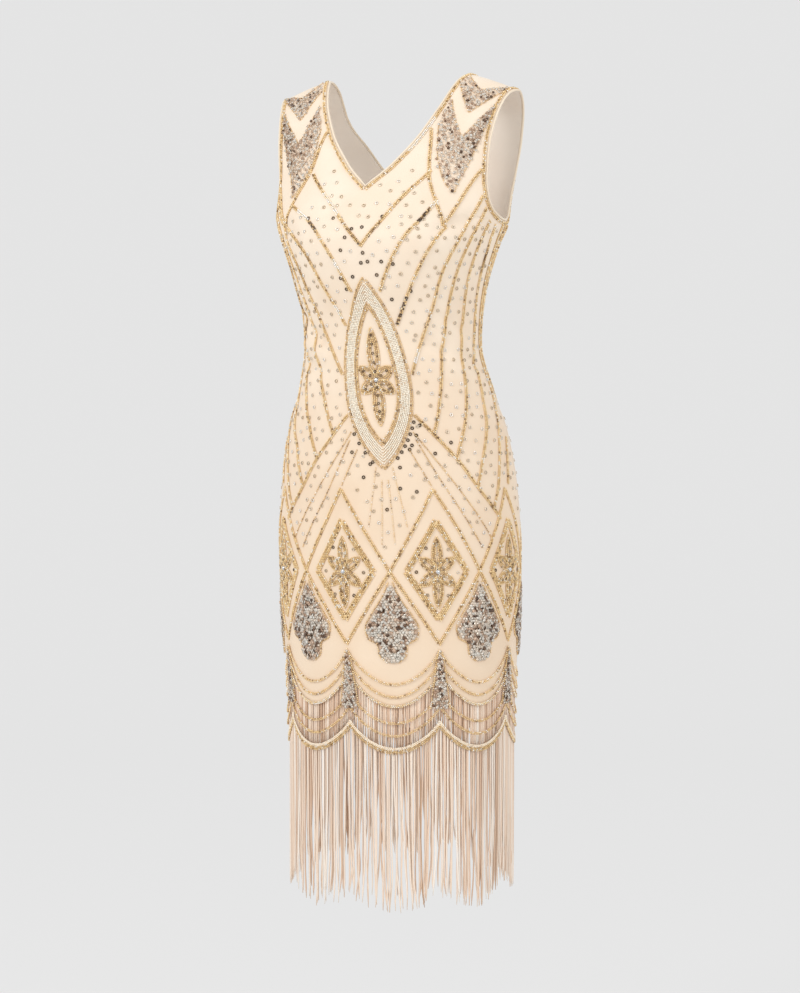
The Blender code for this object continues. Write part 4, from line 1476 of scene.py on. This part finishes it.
    def stones(self) -> None:
        """Cut stones at the flowers' centres."""
        stones = Sewing(Trinket.STONE, 26)
        places = [(centre, self.lozenge_middle) for centre in self.centres(22.5)]
        places.append((0.0, self.medallion.flower_drop))
        angle, drop = np.array(places).T
        points, normals = self.form.place_round(angle, drop, 0.0026)
        tangents = np.tile([0.3, 0.1, 1.0], (len(points), 1))
        stones.add(points, normals, tangents, 0.0035, np.ones(len(points)))
        nodes = [f"lozenge_stone_{k}" for k in range(1, self.form.repeats + 1)] + ["medallion_stone"]
        self.keep(stones.build("cut_stones", False), "crystal", self.wardrobe.stone, *nodes)

    def build(self) -> list[bpy.types.Object]:
        """Sew every ornament."""
        self.rays()
        self.edge_lines()
        self.build_medallion()
        self.lozenges()
        self.swags()
        self.motifs()
        self.chevrons()
        self.scattered()
        self.stones()
        return self.pieces


# ---------------------------------------------------------------- strands, trim and fringe
@dataclass
class Strands:
    """Openwork band, corded trim and long fringe."""

    form: DressForm
    wardrobe: Wardrobe
    pitch: float = 0.0033
    strand_radius: float = 0.00100
    sides: int = 5
    seed: int = 31

    def __post_init__(self) -> None:
        """Seed the strands' random numbers."""
        self.random = np.random.default_rng(self.seed)

    def tubes(self, name: str, around: Array, top: Array, bottom: Array, rings: int, sway: float,
              radius: Array, depth: Array, tone: float = 0.64) -> bpy.types.Object:
        """Join hanging strands into one mesh.

        Args:
            name: the piece's name.
            around: each strand's angle all round.
            top: drop of each strand's start.
            bottom: drop of its end.
            rings: corners along a strand.
            sway: how far the end may swing, in metres.
            radius: each strand's radius.
            depth: distance behind the surface.
            tone: the strands' mean tone.
        """
        count, random = len(around), self.random
        part = np.linspace(0, 1, rings)
        drop = top[:, None] + (bottom - top)[:, None] * part
        middle, normal = self.form.place_round(np.repeat(around[:, None], rings, 1),
                                               np.repeat(top[:, None], rings, 1), -depth[:, None])
        middle = middle.copy()
        middle[..., 2] = -drop
        flat = unit(normal * (1, 1, 0))
        side = np.cross(flat, (0.0, 0.0, 1.0))
        phase, speed = random.uniform(0, math.tau, count), random.uniform(1.5, 5.0, count)
        lean = random.normal(0, 1, count)
        swing = sway * (lean[:, None] * part**1.6
                        + 0.35 * np.sin(phase[:, None] + speed[:, None] * part * 2) * part
                        + 0.30 * np.sin(phase[:, None] * 3 + 17.0 * part) * part**4)
        inwards = -0.35 * sway * np.abs(random.normal(0, 1, count))[:, None] * part**1.5
        middle += side * swing[..., None] + flat * inwards[..., None]
        turn = np.arange(self.sides) * math.tau / self.sides
        taper = np.ones(rings)
        taper[-1] = 0.35
        wide = radius[:, None] * taper
        corners = (middle[:, :, None]
                   + side[:, :, None] * (np.cos(turn)[:, None] * wide[..., None, None])
                   + flat[:, :, None] * (np.sin(turn)[:, None] * wide[..., None, None]))
        per_strand = rings * self.sides
        verts = corners.reshape(-1, 3)
        ring, corner = np.meshgrid(np.arange(rings - 1), np.arange(self.sides), indexing="ij")
        nxt = (corner + 1) % self.sides
        a, b = ring * self.sides + corner, ring * self.sides + nxt
        quads = np.stack([a, b, b + self.sides, a + self.sides], axis=-1).reshape(-1, 4)
        faces = (quads[None] + (np.arange(count) * per_strand)[:, None, None]).reshape(-1)
        caps = np.concatenate([np.arange(self.sides)[::-1],
                               (rings - 1) * self.sides + np.arange(self.sides)])
        cap_faces = (caps[None] + (np.arange(count) * per_strand)[:, None]).reshape(-1)
        starts = np.concatenate([np.arange(0, len(faces), 4),
                                 len(faces) + np.arange(0, len(cap_faces), self.sides)])
        tones = np.clip(tone + random.normal(0, 0.22, count), 0, 1)
        piece = joined(name, verts, np.concatenate([faces, cap_faces]), starts, np.repeat(tones, per_strand))
        piece.data.shade_smooth()
        return dress(piece, "chainette", self.wardrobe.strand)

    def spread(self, pitch: float) -> Array:
        """Angles all round, about evenly spaced along the hem."""
        fine = np.linspace(-math.pi, math.pi, 721)
        points = self.form.place_round(fine, np.full(721, 0.82))[0]
        lengths = np.concatenate([[0], np.cumsum(np.linalg.norm(np.diff(points, axis=0), axis=1))])
        count = int(lengths[-1] / pitch)
        places = (np.arange(count) + self.random.uniform(0.2, 0.8, count)) * lengths[-1] / count
        return np.interp(places, lengths, fine)

    def band(self) -> bpy.types.Object:
        """Openwork band between the skirt's edge and the trim."""
        form, around = self.form, np.concatenate([self.spread(0.0029), self.spread(0.0034)])
        top, bottom = form.scallop(around, form.edge) - 0.006, form.scallop(around, form.trim)
        radius = self.strand_radius * self.random.uniform(0.9, 1.25, len(around))
        depth = self.random.uniform(0.0016, 0.0026, len(around))
        piece = self.tubes("strand_band", around, top, bottom, 4, 0.0007, radius, depth, 0.45)
        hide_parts("strand_band_front", "strand_band_back")
        return piece

    def fringe(self) -> bpy.types.Object:
        """Long fringe, a full layer over a thin one."""
        form = self.form
        layers = [self.spread(self.pitch), self.spread(self.pitch * 3.0)]
        around = np.concatenate(layers)
        behind = np.concatenate([np.zeros(len(layers[0])), np.ones(len(layers[1]))])
        top = form.scallop(around, form.trim) + 0.001
        bottom = form.fringe_end(around) - self.random.gamma(1.6, 0.0035, len(around)) - 0.012 * behind
        radius = self.strand_radius * self.random.uniform(0.9, 1.15, len(around))
        depth = 0.0012 + 0.0022 * behind + self.random.uniform(0, 0.0008, len(around))
        piece = self.tubes("fringe", around, top, bottom, 17, 0.0034, radius, depth)
        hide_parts("fringe_front", "fringe_back")
        return piece

    def trim(self) -> list[bpy.types.Object]:
        """Ivory cord and bead rows along the scalloped trim."""
        form = self.form
        hand = Embroiderer(form)
        around = np.linspace(-math.pi, math.pi, 1441)
        cord, beads = Sewing(Trinket.SEED, 32), Sewing(Trinket.SEED, 33)
        high, low = form.trim
        ivory = np.stack([around, form.scallop(around, (high - 0.0018, low - 0.0018))], axis=1)
        hand.line(cord, None, ivory, 2, size=0.00135, pitch=0.0023, spread=0.0016, tone=0.52, out=0.0006)
        mixed = np.stack([around, form.scallop(around, (high + 0.0026, low + 0.0026))], axis=1)
        hand.line(beads, None, mixed, 3, size=0.0011, pitch=0.0023, spread=0.0017, tone=0.52, out=0.0006)
        ivory_piece = dress(cord.build("trim_ivory_beads"), "white_bead", self.wardrobe.white)
        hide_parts("hem_trim")
        return [ivory_piece, dress(beads.build("trim_gold_beads"), "gold_bead", self.wardrobe.gold)]


# ---------------------------------------------------------------- studio
@dataclass
class Studio:
    """Seamless pale surroundings, soft lights and the camera."""

    azimuth: float = math.radians(14.0)
    distance: float = 3.42
    height: float = -0.43
    pitch: float = math.radians(1.688)
    sensor: float = 36.0
    lens: float = 95.347
    floor_drop: float = 1.42
    radius: float = 7.0
    tone: float = 0.79

    def cyclorama(self) -> None:
        """A round floor that rises into a wall all round, so that every view has a plain ground."""
        bm = bmesh.new()
        floor, bend, top, steps = -self.floor_drop, 2.5, 5.0, 10
        profile = [(0.0, floor)]
        for step in range(steps + 1):
            turn = math.pi / 2 * step / steps
            profile.append((self.radius - bend + bend * math.sin(turn),
                            floor + bend - bend * math.cos(turn)))
        profile.append((self.radius, top))
        verts = [bm.verts.new((x, 0.0, z)) for x, z in profile]
        edges = [bm.edges.new(pair) for pair in zip(verts, verts[1:])]
        bmesh.ops.spin(bm, geom=verts + edges, cent=(0, 0, 0), axis=(0, 0, 1), angle=math.tau, steps=64,
                       use_merge=True)
        bmesh.ops.remove_doubles(bm, verts=bm.verts, dist=0.0001)
        mesh = bpy.data.meshes.new("studio_ground")
        bm.to_mesh(mesh)
        bm.free()
        mesh.shade_smooth()
        ground = link(bpy.data.objects.new("studio_ground", mesh))
        material = new_material("studio_ground")
        shader = shader_of(material)
        shader.inputs["Base Color"].default_value = (0.25, 0.25, 0.25, 1.0)
        shader.inputs["Roughness"].default_value = 1.0
        shader.inputs["Specular IOR Level"].default_value = 0.0
        shader.inputs["Emission Color"].default_value = (self.tone, self.tone, self.tone, 1.0)
        shader.inputs["Emission Strength"].default_value = 0.72
        mesh.materials.append(material)
        ground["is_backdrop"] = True

    def lamp(self, name: str, place: Sequence[float], size: float, power: float) -> None:
        """Add one large soft light that faces the dress."""
        data = bpy.data.lights.new(name, "AREA")
        data.shape, data.size, data.energy = "DISK", size, power
        lamp = link(bpy.data.objects.new(name, data))
        lamp.location = place
        aim = Vector((0, 0, -0.45)) - Vector(place)
        lamp.rotation_euler = aim.to_track_quat("-Z", "Y").to_euler()

    def build(self) -> None:
        """Build the surroundings, the lights and the camera."""
        scene = bpy.context.scene
        scene.view_settings.view_transform = "Standard"
        world = bpy.data.worlds.new("studio_air")
        world.use_nodes = True
        world.node_tree.nodes["Background"].inputs["Color"].default_value = (0.8, 0.8, 0.8, 1.0)
        scene.world = world
        self.cyclorama()
        self.lamp("key", (-1.6, -3.0, 1.6), 1.6, 50)
        self.lamp("side", (2.8, -1.6, 0.6), 1.4, 18)
        data = bpy.data.cameras.new("camera")
        data.sensor_fit, data.sensor_height = "VERTICAL", self.sensor
        data.sensor_width = self.sensor
        data.lens = self.lens
        camera = link(bpy.data.objects.new("camera", data))
        camera.location = (self.distance * math.sin(self.azimuth), -self.distance * math.cos(self.azimuth),
                           self.height)
        camera.rotation_euler = (math.pi / 2 - self.pitch, 0.0, self.azimuth)
        scene.camera = camera


def write_sizes(visual: Sequence) -> None:
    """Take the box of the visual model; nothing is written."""
    def plain(box: Sequence) -> list:
        """A box as plain lists of numbers."""
        return [[float(value) for value in corner] for corner in box]


def main() -> None:
    """Build the dress's visual pieces around the frame, and the studio."""
    logging.basicConfig(level=logging.INFO, format="%(message)s")
    form, wardrobe = DressForm(), Wardrobe()
    Studio().build()
    panels = ClothPanels(form, wardrobe)
    for face in Face:
        panels.build(face)
        flat = (form.girth(0.580) / 2, form.edge[1] + form.shoulder_rise)
    Piping(form, wardrobe).build()
    Ornament(form, wardrobe, Medallion(form)).build()
    strands = Strands(form, wardrobe)
    strands.band()
    strands.fringe()
    strands.trim()
    write_sizes(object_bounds())


if __name__ == "__main__":
    main()
